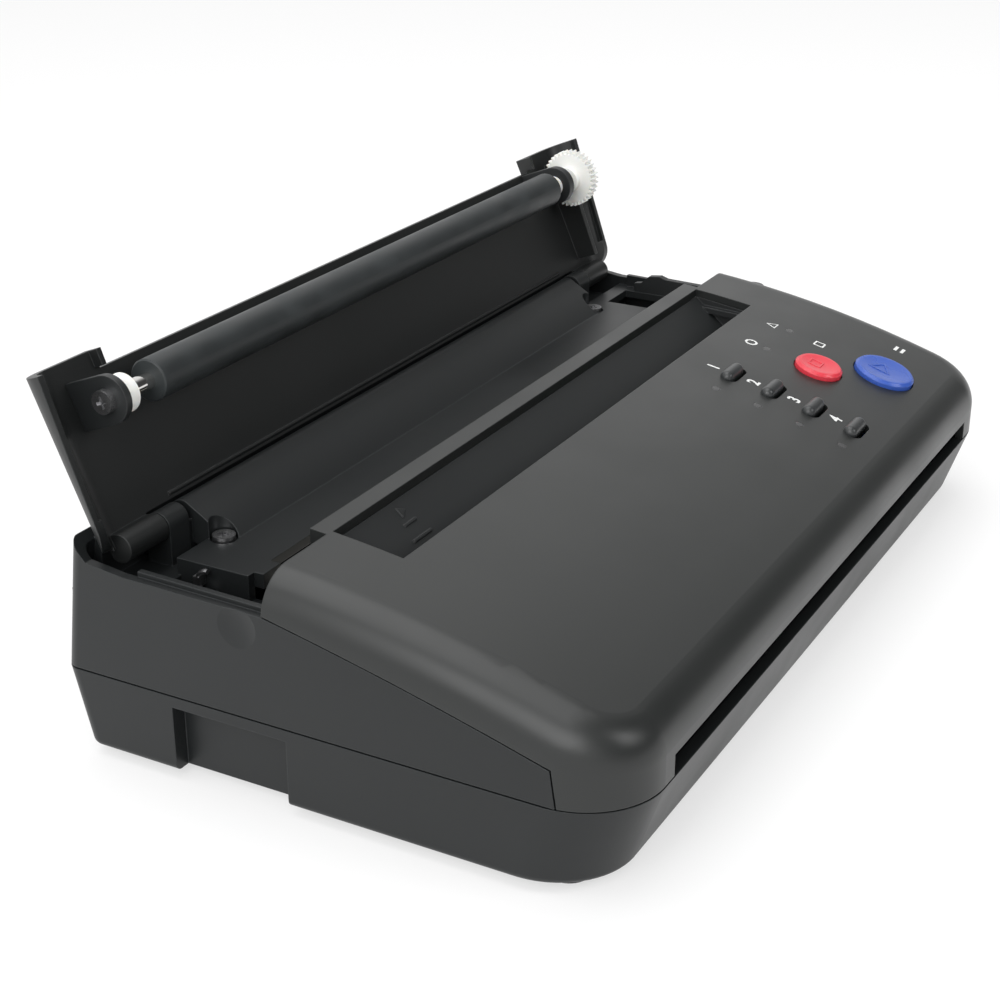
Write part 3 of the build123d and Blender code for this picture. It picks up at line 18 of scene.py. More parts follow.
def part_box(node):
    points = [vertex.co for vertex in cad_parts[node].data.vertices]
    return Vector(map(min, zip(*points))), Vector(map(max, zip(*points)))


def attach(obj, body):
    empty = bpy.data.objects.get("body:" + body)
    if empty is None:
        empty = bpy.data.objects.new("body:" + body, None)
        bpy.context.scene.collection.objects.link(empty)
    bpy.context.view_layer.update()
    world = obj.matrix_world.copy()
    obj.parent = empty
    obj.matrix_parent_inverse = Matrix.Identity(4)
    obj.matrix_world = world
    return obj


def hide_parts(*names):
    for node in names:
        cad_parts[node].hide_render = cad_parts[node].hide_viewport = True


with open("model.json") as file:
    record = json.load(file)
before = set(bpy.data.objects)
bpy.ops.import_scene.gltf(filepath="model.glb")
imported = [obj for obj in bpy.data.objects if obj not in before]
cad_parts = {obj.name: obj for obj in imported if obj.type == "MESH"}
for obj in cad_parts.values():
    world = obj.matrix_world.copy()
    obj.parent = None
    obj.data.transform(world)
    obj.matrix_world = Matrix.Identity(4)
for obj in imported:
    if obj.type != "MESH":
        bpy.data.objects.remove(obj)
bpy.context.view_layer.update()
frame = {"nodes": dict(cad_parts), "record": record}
nodes = frame["nodes"]
record = frame["record"]
slot_of = {part["node"]: part["material_slot"] for part in record["subparts"]}

# %% [markdown]
# ## Camera
#
# The photograph was taken from the left front corner, a little above the machine. Its
# vanishing points give the lens, and the width of the feed trough gives the distance. The
# camera stays level from side to side, so a direction and the world's up are enough to aim it.

# %% Place the camera
IMAGE_SIZE = 1000
FOCAL_PIXELS = 1860.0
CAMERA_PLACE = Vector((-0.44499, -0.21699, 0.24763))
CAMERA_DIRECTION = Vector((0.8031, 0.4385, -0.4034))

camera_data = bpy.data.cameras.new("camera")
camera_data.sensor_width = 36.0
camera_data.lens = camera_data.sensor_width * FOCAL_PIXELS / IMAGE_SIZE
camera_data.clip_start = 0.01
camera_data.clip_end = 20.0
camera = bpy.data.objects.new("camera", camera_data)
camera.location = CAMERA_PLACE
camera.rotation_euler = CAMERA_DIRECTION.to_track_quat("-Z", "Y").to_euler()
bpy.context.scene.collection.objects.link(camera)
bpy.context.scene.camera = camera
print("lens", round(camera_data.lens, 2), "mm")

# %% [markdown]
# ## Floor, backdrop and light
#
# A studio product picture has a white sweep and large soft lamps. The floor is a plain pale
# sheet. Rays that come straight from the camera, or by way of a mirror or glass, see it nearly
# white, and the part of its brightness that comes from the lamps keeps the soft shadow under
# the machine. The lamps are wide sheets of light, because smooth dark plastic shows mainly
# what it mirrors. For the same reason the world round the machine is white like a light tent,
# but dark towards the front right: the lid's inner face and the paper guide look that way, and
# so they stay nearly black. Rays straight from the camera see the whole world white.

# %% Material helpers
def new_material(name):
    """An empty node material, its tree and its output node."""
    material = bpy.data.materials.new(name)
    material.use_nodes = True
    tree = material.node_tree
    tree.nodes.clear()
    output = tree.nodes.new("ShaderNodeOutputMaterial")
    return material, tree, output


def add(tree, kind, **values):
    """A new node with its named inputs and properties set."""
    node = tree.nodes.new(kind)
    for key, value in values.items():
        if key in node.inputs:
            node.inputs[key].default_value = value
        else:
            setattr(node, key, value)
    return node


def seen_directly(tree):
    """1 for rays from the camera, from a mirror or through glass, otherwise 0."""
    path = add(tree, "ShaderNodeLightPath")
    glossy = add(tree, "ShaderNodeMath", operation="MAXIMUM")
    either = add(tree, "ShaderNodeMath", operation="MAXIMUM")
    tree.links.new(path.outputs["Is Camera Ray"], glossy.inputs[0])
    tree.links.new(path.outputs["Is Glossy Ray"], glossy.inputs[1])
    tree.links.new(glossy.outputs[0], either.inputs[0])
    tree.links.new(path.outputs["Is Transmission Ray"], either.inputs[1])
    return either.outputs[0]


print("helpers: new_material, add, seen_directly")

# %% Floor
FLOOR_HALF = 4.0
FLOOR_WHITE = (0.93, 0.93, 0.93, 1.0)
FLOOR_GLOW = 0.62

floor_mesh = bpy.data.meshes.new("floor")
corners = [
    (-FLOOR_HALF, -FLOOR_HALF, 0),
    (FLOOR_HALF, -FLOOR_HALF, 0),
    (FLOOR_HALF, FLOOR_HALF, 0),
    (-FLOOR_HALF, FLOOR_HALF, 0),
]
floor_mesh.from_pydata(corners, [], [(0, 1, 2, 3)])
floor = bpy.data.objects.new("floor", floor_mesh)
bpy.context.scene.collection.objects.link(floor)

floor_material, tree, output = new_material("floor_paper")
paper = add(tree, "ShaderNodeBsdfDiffuse", Color=FLOOR_WHITE)
glow = add(tree, "ShaderNodeEmission", Color=(1, 1, 1, 1), Strength=1.0)
mix = add(tree, "ShaderNodeMixShader")
share = add(tree, "ShaderNodeMath", operation="MULTIPLY")
share.inputs[1].default_value = FLOOR_GLOW
tree.links.new(seen_directly(tree), share.inputs[0])
tree.links.new(share.outputs[0], mix.inputs[0])
tree.links.new(paper.outputs[0], mix.inputs[1])
tree.links.new(glow.outputs[0], mix.inputs[2])
tree.links.new(mix.outputs[0], output.inputs["Surface"])
floor_mesh.materials.append(floor_material)
print("floor", 2 * FLOOR_HALF, "m wide")

# %% World
WORLD_BRIGHT = 0.98
WORLD_DARK = 0.06
DARK_SIDE = Vector((0.42, -0.80, 0.42))
# Cosine of the angle to DARK_SIDE where the world starts to darken, and where it is darkest.
DARK_START = 0.32
DARK_FULL = 0.90
world = bpy.data.worlds.new("studio")
bpy.context.scene.world = world
world.use_nodes = True
tree = world.node_tree
tree.nodes.clear()
output = add(tree, "ShaderNodeOutputWorld")
direction = add(tree, "ShaderNodeTexCoord")
towards = add(tree, "ShaderNodeVectorMath", operation="DOT_PRODUCT")
towards.inputs[1].default_value = DARK_SIDE.normalized()
fall = add(tree, "ShaderNodeMapRange", interpolation_type="SMOOTHSTEP")
fall.inputs["From Min"].default_value = DARK_START
fall.inputs["From Max"].default_value = DARK_FULL
fall.inputs["To Min"].default_value = WORLD_BRIGHT
fall.inputs["To Max"].default_value = WORLD_DARK
tree.links.new(direction.outputs["Generated"], towards.inputs[0])
tree.links.new(towards.outputs["Value"], fall.inputs["Value"])
dim = add(tree, "ShaderNodeBackground", Color=(1, 1, 1, 1))
white = add(tree, "ShaderNodeBackground", Color=(1, 1, 1, 1), Strength=1.0)
mix = add(tree, "ShaderNodeMixShader")
camera_ray = add(tree, "ShaderNodeLightPath")
tree.links.new(fall.outputs["Result"], dim.inputs["Strength"])
tree.links.new(camera_ray.outputs["Is Camera Ray"], mix.inputs[0])
tree.links.new(dim.outputs[0], mix.inputs[1])
tree.links.new(white.outputs[0], mix.inputs[2])
tree.links.new(mix.outputs[0], output.inputs["Surface"])
print("world strength", WORLD_DARK, "to", WORLD_BRIGHT)

# %% Lamps
LAMPS = {
    # name: (place, aimed at, width, height, watts)
    "ceiling_softbox": ((0.00, 0.15, 1.30), (0.0, 0.0, 0.05), 1.4, 1.0, 8.0),
    "left_card": ((-1.30, -0.20, 0.90), (0.0, 0.0, 0.06), 1.2, 0.9, 10.0),
    "front_window": ((0.16, -1.22, 0.88), (-0.12, -0.06, 0.04), 0.55, 0.55, 4.5),
}
for name, (place, aim, width, height, watts) in LAMPS.items():
    lamp_data = bpy.data.lights.new(name, "AREA")
    lamp_data.shape = "RECTANGLE"
    lamp_data.size = width
    lamp_data.size_y = height
    lamp_data.energy = watts
    lamp = bpy.data.objects.new(name, lamp_data)
    lamp.location = place
    lamp.rotation_euler = (Vector(aim) - Vector(place)).to_track_quat("-Z", "Y").to_euler()
    bpy.context.scene.collection.objects.link(lamp)
print("lamps", len(LAMPS))

# %% [markdown]
# ## Moulded plastic
#
# The case is injection moulded with a fine spark-eroded grain, so close up it is a field of
# tiny bumps and from a distance a soft satin. A noise pattern a fifth of a millimetre wide gives
# the bumps, and a second noise some centimetres wide makes the sheen drift a little, as real
# mouldings do. Every edge of a moulding is slightly round: the bevel shading bends the light at
# the edges without any change of the shape, and the same bend, compared with the true face,
# finds the edges. Their colour is painted lighter, partly as wear from handling and partly as a
# painted highlight along each edge.

# %% Patterns for every finish
BEVEL_SAMPLES = 6
# Cosine between the rounded and the true normal: an edge painted lighter (wear and painted highlight), and
# an open face.
EDGE_COSINE = 0.80
FACE_COSINE = 0.995


def object_noise(tree, size, detail=2.0, roughness=0.5):
    """Noise in object coordinates whose bumps are about size metres wide."""
    place = add(tree, "ShaderNodeTexCoord")
    noise = add(tree, "ShaderNodeTexNoise", Scale=1.0 / size, Detail=detail, Roughness=roughness)
    tree.links.new(place.outputs["Object"], noise.inputs["Vector"])
    return noise.outputs["Fac"]


def ranged(tree, value, low, high, from_low=0.25, from_high=0.75):
    """The value mapped from one range to another, kept inside it."""
    remap = add(tree, "ShaderNodeMapRange")
    remap.inputs["From Min"].default_value = from_low
    remap.inputs["From Max"].default_value = from_high
    remap.inputs["To Min"].default_value = low
    remap.inputs["To Max"].default_value = high
    tree.links.new(value, remap.inputs["Value"])
    return remap.outputs["Result"]


def edge_mask(tree, radius):
    """Normal that is rounded at edges, and a mask: 0 on open faces, up to 1 on such an edge."""
    bevel = add(tree, "ShaderNodeBevel", Radius=radius)
    bevel.samples = BEVEL_SAMPLES
    face = add(tree, "ShaderNodeNewGeometry")
    dot = add(tree, "ShaderNodeVectorMath", operation="DOT_PRODUCT")
    tree.links.new(bevel.outputs["Normal"], dot.inputs[0])
    tree.links.new(face.outputs["Normal"], dot.inputs[1])
    edge_wear_and_highlight = ranged(tree, dot.outputs["Value"], 1.0, 0.0, EDGE_COSINE, FACE_COSINE)
    return bevel.outputs["Normal"], edge_wear_and_highlight


def tinted(tree, mask, colour, other):
    """Colour that goes over to another one where the mask is 1."""
    blend = add(tree, "ShaderNodeMix", data_type="RGBA")
    blend.inputs[6].default_value = (*colour, 1.0)
    blend.inputs[7].default_value = (*other, 1.0)
    tree.links.new(mask, blend.inputs[0])
    return blend.outputs[2]


print("patterns: object_noise, ranged, edge_mask, tinted")

# %% Plastic
# Share of the way an edge's colour goes to its lighter tint: wear, and a painted highlight along the edge.
WEAR_AND_HIGHLIGHT_SHARE = 0.6
DRIFT_SIZE = 0.03
SCATTER_DEPTH = (0.0012, 0.0010, 0.0008)


def moulded(name, colour, sheen_low, sheen_high, grain=0.00022, grain_depth=0.000004, wear_and_highlight=1.5,
            edge=0.0004, see_into=0.0, ior=1.49):
    """Moulded plastic: fine grain, drifting sheen, and edges painted lighter for wear and highlight.

    Roughness runs from sheen_low to sheen_high over a few centimetres. Grain is noise with bumps
    grain metres wide and grain_depth metres high. Edges look rounded by the radius edge, and
    there the colour is painted lighter, partly as wear and partly as a painted highlight: it goes
    a fixed share of the way to the given colour times the edge lightening factor.
    See_into is the share of light that scatters below the face, ior the refractive index.
    """
    material, tree, output = new_material(name)
    shader = add(tree, "ShaderNodeBsdfPrincipled", IOR=ior)
    normal, edge_wear_and_highlight = edge_mask(tree, edge)
    drift = object_noise(tree, DRIFT_SIZE, detail=3.0)
    # Edges get a lighter colour: partly wear, partly a painted highlight along each edge.
    softly = add(tree, "ShaderNodeMath", operation="MULTIPLY")
    softly.inputs[1].default_value = WEAR_AND_HIGHLIGHT_SHARE
    tree.links.new(edge_wear_and_highlight, softly.inputs[0])
    wear_and_highlight_colour = tuple(min(1.0, c * wear_and_highlight) for c in colour)
    base = tinted(tree, softly.outputs[0], colour, wear_and_highlight_colour)
    tree.links.new(base, shader.inputs["Base Color"])
    tree.links.new(ranged(tree, drift, sheen_low, sheen_high), shader.inputs["Roughness"])
    bump = add(tree, "ShaderNodeBump", Strength=1.0, Distance=grain_depth)
    tree.links.new(object_noise(tree, grain, detail=1.0), bump.inputs["Height"])
    tree.links.new(normal, bump.inputs["Normal"])
    tree.links.new(bump.outputs["Normal"], shader.inputs["Normal"])
    if see_into:
        shader.inputs["Subsurface Weight"].default_value = see_into
        shader.inputs["Subsurface Radius"].default_value = SCATTER_DEPTH
    tree.links.new(shader.outputs[0], output.inputs["Surface"])
    return material


# The edge factor paints edges lighter: wear, and a painted highlight along the edges.
finish = {
    "case_black": moulded("case_black", (0.012, 0.0135, 0.014), 0.36, 0.46, wear_and_highlight=3.5, ior=1.42),
    "cover_black": moulded("cover_black", (0.015, 0.0165, 0.016), 0.30, 0.40, wear_and_highlight=3.0),
    "lid_black": moulded("lid_black", (0.009, 0.010, 0.010), 0.38, 0.48, wear_and_highlight=4.0),
    "inner_black": moulded("inner_black", (0.013, 0.0145, 0.015), 0.40, 0.50),
    "fitting_black": moulded("fitting_black", (0.010, 0.0105, 0.011), 0.22, 0.30, grain_depth=0.000001),
    "mode_grey": moulded("mode_grey", (0.032, 0.034, 0.035), 0.24, 0.32),
    "stop_red": moulded("stop_red", (0.68, 0.044, 0.066), 0.26, 0.34,
                        grain_depth=0.000001, wear_and_highlight=1.15, see_into=0.15),
    "copy_blue": moulded("copy_blue", (0.036, 0.095, 0.42), 0.24, 0.32,
                         grain_depth=0.000001, wear_and_highlight=1.15, see_into=0.10),
    "gear_white": moulded("gear_white", (0.86, 0.86, 0.83), 0.34, 0.44,
                          grain_depth=0.000002, wear_and_highlight=1.0, see_into=0.35),
    "window_clear": moulded("window_clear", (0.035, 0.035, 0.036), 0.12, 0.20, grain_depth=0.0000005),
}
print("plastics", len(finish))

# %% [markdown]
# ## Rubber
#
# The platen and feed rollers are silicone sleeves ground to size on a lathe, which leaves very
# fine rings round them and a dull silky face. The feet are plain moulded rubber. The rings are
# a wave pattern along the roller's length, 0.6 mm apart, with a little noise.

# %% Rubber
RING_STEP = 6.2832
DUST_SIZE = 0.012


def ground_rubber(name, colour, ring):
    """Dull rubber with fine rings across X and a dusty bloom.

    The wave pattern repeats every 0.314 of its scaled place, so the rings are 0.314 times
    RING_STEP times ring metres apart: 0.6 mm for a ring of 0.3 mm.
    """
    material, tree, output = new_material(name)
    shader = add(tree, "ShaderNodeBsdfPrincipled", IOR=1.45)
    place = add(tree, "ShaderNodeTexCoord")
    rings = add(tree, "ShaderNodeTexWave", Scale=1.0 / (ring * RING_STEP), Distortion=1.5, Detail=2.0)
    rings.wave_type = "BANDS"
    rings.bands_direction = "X"
    tree.links.new(place.outputs["Object"], rings.inputs["Vector"])
    dust = ranged(tree, object_noise(tree, DUST_SIZE, detail=4.0), 0.0, 1.0, 0.40, 0.70)
    dusty = tuple(c * 1.5 for c in colour)
    tree.links.new(tinted(tree, dust, colour, dusty), shader.inputs["Base Color"])
    tree.links.new(ranged(tree, dust, 0.44, 0.58, 0.0, 1.0), shader.inputs["Roughness"])
    bump = add(tree, "ShaderNodeBump", Strength=0.6, Distance=0.000008)
    tree.links.new(rings.outputs["Fac"], bump.inputs["Height"])
    tree.links.new(bump.outputs["Normal"], shader.inputs["Normal"])
    tree.links.new(shader.outputs[0], output.inputs["Surface"])
    return material


finish["roller_rubber"] = ground_rubber("roller_rubber", (0.017, 0.020, 0.021), 0.0003)
finish["foot_rubber"] = moulded("foot_rubber", (0.022, 0.022, 0.024), 0.60, 0.72, grain=0.0005)
print("finishes with rubber", len(finish))

# %% [markdown]
# ## Metals
#
# The roller's shaft is chrome plated and shows the room as bright and dark bands. Screws, pins
# and pressed sheets are zinc plated: greyer, with fine drawn lines. Each metal is one principled
# shader with its own colour, and the drawn lines are noise stretched along one axis.

# %% Metals
def drawn_metal(name, colour, rough_low, rough_high, stretch=(1.0, 1.0, 1.0), line=0.0002,
                depth=0.000003):
    """Metal with fine lines, in bump and roughness: noise line metres wide.

    Its place is first multiplied by stretch, so a number under 1 draws the lines out that way.
    """
    material, tree, output = new_material(name)
    shader = add(tree, "ShaderNodeBsdfPrincipled", Metallic=1.0)
    place = add(tree, "ShaderNodeTexCoord")
    scale = add(tree, "ShaderNodeMapping", Scale=stretch)
    noise = add(tree, "ShaderNodeTexNoise", Scale=1.0 / line, Detail=2.0)
    tree.links.new(place.outputs["Object"], scale.inputs["Vector"])
    tree.links.new(scale.outputs["Vector"], noise.inputs["Vector"])
    lines = noise.outputs["Fac"]
    stain = ranged(tree, object_noise(tree, 0.008, detail=3.0), 0.0, 1.0)
    stained = tuple(c * 0.86 for c in colour)
    tree.links.new(tinted(tree, stain, colour, stained), shader.inputs["Base Color"])
    tree.links.new(ranged(tree, lines, rough_low, rough_high), shader.inputs["Roughness"])
    bump = add(tree, "ShaderNodeBump", Strength=0.5, Distance=depth)
    tree.links.new(lines, bump.inputs["Height"])
    tree.links.new(bump.outputs["Normal"], shader.inputs["Normal"])
    tree.links.new(shader.outputs[0], output.inputs["Surface"])
    return material


finish.update({
    "chrome_steel": drawn_metal("chrome_steel", (0.78, 0.77, 0.75), 0.05, 0.11,
                                (1.0, 0.05, 0.05), depth=0.000001),
    "screw_steel": drawn_metal("screw_steel", (0.50, 0.50, 0.51), 0.24, 0.36),
    "sheet_steel": drawn_metal("sheet_steel", (0.56, 0.57, 0.58), 0.28, 0.42, (1.0, 0.08, 1.0)),
    "motor_steel": drawn_metal("motor_steel", (0.52, 0.52, 0.53), 0.26, 0.36, (1.0, 0.1, 0.1)),
    "pinion_brass": drawn_metal("pinion_brass", (0.78, 0.58, 0.26), 0.20, 0.32),
    "heatsink_aluminium": drawn_metal("heatsink_aluminium", (0.72, 0.73, 0.74), 0.28, 0.40,
                                      (0.04, 1.0, 1.0)),
})
print("finishes with metals", len(finish))

# %% [markdown]
# ## Ceramic, glass and circuit boards
#
# These sit inside and show only as slivers through the openings, but a view from above or from
# behind the lid reaches some of them. The print head is glazed ceramic, the scanner has a clear
# glass strip, and the boards are green lacquer over copper tracks.

# %% Ceramic, glass and boards
def glazed_ceramic(name, colour):
    """Pale speckled ceramic under a smooth glaze."""
    material, tree, output = new_material(name)
    shader = add(tree, "ShaderNodeBsdfPrincipled", IOR=1.55)
    shader.inputs["Coat Weight"].default_value = 0.6
    speck = ranged(tree, object_noise(tree, 0.0008, detail=3.0), 0.0, 1.0, 0.5, 0.7)
    speckled = tuple(c * 0.85 for c in colour)
    tree.links.new(tinted(tree, speck, colour, speckled), shader.inputs["Base Color"])
    tree.links.new(ranged(tree, speck, 0.18, 0.26, 0.0, 1.0), shader.inputs["Roughness"])
    tree.links.new(shader.outputs[0], output.inputs["Surface"])
    return material


def strip_glass(name):
    """Clear glass with faint smears in its polish."""
    material, tree, output = new_material(name)
    shader = add(tree, "ShaderNodeBsdfPrincipled", IOR=1.52)
    shader.inputs["Transmission Weight"].default_value = 0.9
    smear = object_noise(tree, 0.01, detail=3.0)
    tree.links.new(tinted(tree, smear, (0.86, 0.92, 0.90), (0.80, 0.88, 0.86)), shader.inputs["Base Color"])
    tree.links.new(ranged(tree, smear, 0.02, 0.09), shader.inputs["Roughness"])
    tree.links.new(shader.outputs[0], output.inputs["Surface"])
    return material


def circuit_board(name, lacquer, track):
    """Green lacquer with paler lines where copper tracks run below it."""
    material, tree, output = new_material(name)
    shader = add(tree, "ShaderNodeBsdfPrincipled", IOR=1.5)
    place = add(tree, "ShaderNodeTexCoord")
    bricks = add(tree, "ShaderNodeTexBrick", Scale=120.0)
    bricks.inputs["Mortar Size"].default_value = 0.06
    tree.links.new(place.outputs["Object"], bricks.inputs["Vector"])
    tree.links.new(tinted(tree, bricks.outputs["Fac"], lacquer, track), shader.inputs["Base Color"])
    tree.links.new(ranged(tree, object_noise(tree, 0.004), 0.22, 0.32), shader.inputs["Roughness"])
    bump = add(tree, "ShaderNodeBump", Strength=0.4, Distance=0.00003)
    tree.links.new(bricks.outputs["Fac"], bump.inputs["Height"])
    tree.links.new(bump.outputs["Normal"], shader.inputs["Normal"])
    tree.links.new(shader.outputs[0], output.inputs["Surface"])
    return material


finish["head_ceramic"] = glazed_ceramic("head_ceramic", (0.78, 0.76, 0.70))
finish["scanner_glass"] = strip_glass("scanner_glass")
finish["board_green"] = circuit_board("board_green", (0.02, 0.16, 0.06), (0.05, 0.26, 0.10))
print("finishes with boards", len(finish))

# %% Dress every node
for name, node in nodes.items():
    node.data.materials.clear()
    node.data.materials.append(finish[slot_of[name]])
missing = sorted(set(slot_of.values()) - set(finish))
print("dressed", len(nodes), "nodes; slots without a finish:", missing)

# %% [markdown]
# ## The cover's curve
#
# The cover is part of a cylinder that lies along X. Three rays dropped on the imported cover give
# three points of its arc, and the circle through them gives every height and tilt that the
# printed marks need to lie on it.

# %% Measure the cover
RAY_TOP = 0.2
DOWN = Vector((0, 0, -1))
ARC_X = -0.05
ARC_YS = (-0.060, -0.035, -0.010)


def node_tree(name):
    """Search tree of a node's triangles."""
    mesh = nodes[name].data
    mesh.calc_loop_triangles()
    places = np.empty(len(mesh.vertices) * 3)
    mesh.vertices.foreach_get("co", places)
    corners = np.empty(len(mesh.loop_triangles) * 3, dtype=np.int32)
    mesh.loop_triangles.foreach_get("vertices", corners)
    return BVHTree.FromPolygons(places.reshape(-1, 3).tolist(), corners.reshape(-1, 3).tolist())


def circle_through(a, b, c):
    """Centre and radius of the circle through three points: where two perpendicular bisectors cross."""
    (ay, az), (by, bz), (cy, cz) = a, b, c
    left = np.array([[by - ay, bz - az], [cy - ay, cz - az]]) * 2.0
    right = np.array([by**2 + bz**2 - ay**2 - az**2, cy**2 + cz**2 - ay**2 - az**2])
    centre = np.linalg.solve(left, right)
    return centre, float(np.hypot(*(np.array(a) - centre)))


cover_tree = node_tree("top_cover")
arc = []
for y in ARC_YS:
    hit = cover_tree.ray_cast(Vector((ARC_X, y, RAY_TOP)), DOWN)[0]
    arc.append((hit.y, hit.z))
cover_centre, cover_radius = circle_through(*arc)
print("cover arc radius", round(cover_radius * 1000, 1), "mm")


def on_cover(flat, lift):
    """Flat drawing (x, y, height) wrapped on the cover.

    The sine of a point's angle is its y from the arc's centre over the radius, so a point on the
    cover keeps its y. Its distance from the arc's centre is the radius plus lift plus its height.
    """
    x, y, height = flat[:, 0], flat[:, 1], flat[:, 2]
    angle = np.arcsin((y - cover_centre[0]) / cover_radius)
    reach = cover_radius + lift + height
    along = cover_centre[0] + reach * np.sin(angle)
    above = cover_centre[1] + reach * np.cos(angle)
    return np.stack([x, along, above], axis=1)


# %% [markdown]
# ## Small keys
#
# The four small keys are narrow pills: half round across, with round ends, so each one shows a
# thin bright line along its ridge and dark flanks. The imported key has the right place, length
# and hole, but a flat top, so a rounder cap is worked out here and stands in its place. It moves
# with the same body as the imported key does.

# %% Surfaces from rings
END_FACES = 2


def closed_surface(name, rings):
    """Mesh from rings of points, joined by smooth quads and closed by a flat face at both ends."""
    count, around = rings.shape[:2]
    here = np.arange(around)
    after = (here + 1) % around
    rows = np.arange(count - 1)[:, None] * around
    quads = np.stack([rows + here, rows + after, rows + around + after, rows + around + here], axis=-1)
    faces = quads.reshape(-1, 4).tolist()
    faces.append(here[::-1].tolist())
    faces.append((here + (count - 1) * around).tolist())
    mesh = bpy.data.meshes.new(name)
    mesh.from_pydata(rings.reshape(-1, 3).tolist(), [], faces)
    smooth = np.repeat([True, False], [len(faces) - END_FACES, END_FACES])
    mesh.polygons.foreach_set("use_smooth", smooth)
    mesh.update()
    return mesh


def placed(name, mesh, material, body):
    """A finished piece at the origin, with its finish, riding on its body."""
    mesh.materials.append(material)
    piece = bpy.data.objects.new(name, mesh)
    bpy.context.scene.collection.objects.link(piece)
    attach(piece, body)
    return piece


print("helpers: closed_surface, placed")

# %% Pill shaped caps
PILL_RISE = 0.0021
PILL_SKIRT = 0.0025
PILL_AROUND = 64
PILL_UP = 14
PILL_CLIMB = 0.97


def pill_rings(length, width):
    """Rings of a pill cap, from its buried foot to its ridge.

    Each ring is a slot outline: a circle of the ring's radius whose two halves are drawn apart
    by the straight length. Going up, the radius follows a quarter ellipse, up to PILL_CLIMB of
    it, so the cap is half round across; the skirt below the cover has the full radius.
    """
    turn = np.linspace(0.0, 2 * np.pi, PILL_AROUND, endpoint=False) + np.pi / PILL_AROUND
    climb = np.linspace(0.0, 0.5 * np.pi * PILL_CLIMB, PILL_UP)
    radius = np.concatenate([[width / 2], width / 2 * np.cos(climb)])[:, None]
    height = np.concatenate([[-PILL_SKIRT], PILL_RISE * np.sin(climb)])[:, None]
    straight = np.sign(np.cos(turn)) * (length - width) / 2
    x = straight + radius * np.cos(turn)
    y = radius * np.sin(turn)
    return np.stack([x, y, height + np.zeros_like(x)], axis=-1)


MODE_KEYS = sorted(name for name in nodes if name.startswith("mode_button_"))
MODE_KEY_LENGTH = 0.0115
MODE_KEY_WIDTH = 0.0042
key_centres = {}
for name in MODE_KEYS:
    low, high = (np.array(corner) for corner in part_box(name))
    hole_centre = (low + high) / 2
    key_centres[name] = hole_centre
    rings = pill_rings(MODE_KEY_LENGTH, MODE_KEY_WIDTH)
    flat = rings.reshape(-1, 3) + np.array([hole_centre[0], hole_centre[1], 0.0])
    mesh = closed_surface(f"{name}_cap", on_cover(flat, 0.0).reshape(rings.shape))
    cap = placed(f"{name}_cap", mesh, finish["mode_grey"], name.replace("button", "key"))
    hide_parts(name)
print("pill caps", len(MODE_KEYS))

# %% [markdown]
# ## Printed marks
#
# White marks are pad printed on the cover beside each key and lamp. Here the small keys have
# the numbers 1 to 4, and the lamps and round keys have plain shapes: a ring, a triangle, a
# square and a double bar. Each mark is drawn flat, turned into a mesh, and then wrapped on the
# cover's curve a few hundredths of a millimetre above it. A Solidify modifier gives it the
# thickness of a film of ink, so that it is a shape and not a picture on the surface.

# %% Ink
def printed_ink(name, colour):
    """Matt ink, thin in places, so that its cover and roughness vary a little."""
    material, tree, output = new_material(name)
    shader = add(tree, "ShaderNodeBsdfPrincipled", IOR=1.45)
    patchy = ranged(tree, object_noise(tree, 0.0004, detail=3.0), 0.0, 1.0, 0.35, 0.75)
    thin = tuple(c * 0.82 for c in colour)
    tree.links.new(tinted(tree, patchy, colour, thin), shader.inputs["Base Color"])
    tree.links.new(ranged(tree, patchy, 0.50, 0.65, 0.0, 1.0), shader.inputs["Roughness"])
    tree.links.new(shader.outputs[0], output.inputs["Surface"])
    return material


finish["print_white"] = printed_ink("print_white", (0.80, 0.81, 0.80))
INK_LIFT = 0.00004
INK_THICKNESS = 0.00003
print("ink", INK_THICKNESS * 1000, "mm thick")

# %% Outlines of marks
# Height of a numeral over the font's size, and how much bolder it is made, over its height.
NUMERAL_SHARE = 0.7
NUMERAL_BOLDER = 0.035


def plate(flat_rings):
    """Points of an outer and an inner outline, and the quads between the two."""
    outer, inner = flat_rings
    around = len(outer)
    here = np.arange(around)
    after = (here + 1) % around
    points = np.concatenate([outer, inner])
    faces = np.stack([here, after, after + around, here + around], axis=-1)
    return points, faces.tolist()


def sign_outline(sides, size, band, turn=0.0):
    """Regular polygon frame: corners on a circle, and again on one smaller by the band."""
    angle = np.linspace(0.0, 2 * np.pi, sides, endpoint=False) + turn
    corner = np.stack([np.cos(angle), np.sin(angle), np.zeros(sides)], axis=-1)
    return plate((corner * size, corner * (size - band)))


def bar_outline(length, width, gap):
    """Two bars, four corners each, whose middle lines are gap apart."""
    half = np.array([[-length, -width], [length, -width], [length, width], [-length, width]]) / 2
    both = np.concatenate([half + [0.0, gap / 2], half - [0.0, gap / 2]])
    points = np.concatenate([both, np.zeros((8, 1))], axis=1)
    return points, [[0, 1, 2, 3], [4, 5, 6, 7]]


def numeral(text, height):
    """Outline of a number from Blender's own font, as flat points and faces."""
    letters = bpy.data.curves.new("numeral", "FONT")
    letters.body = text
    letters.size = height / NUMERAL_SHARE
    letters.align_x = "CENTER"
    letters.align_y = "CENTER"
    letters.offset = height * NUMERAL_BOLDER
    holder = bpy.data.objects.new("numeral", letters)
    mesh = bpy.data.meshes.new_from_object(holder)
    points = np.empty(len(mesh.vertices) * 3)
    mesh.vertices.foreach_get("co", points)
    faces = [list(face.vertices) for face in mesh.polygons]
    bpy.data.objects.remove(holder)
    bpy.data.meshes.remove(mesh)
    return points.reshape(-1, 3), faces


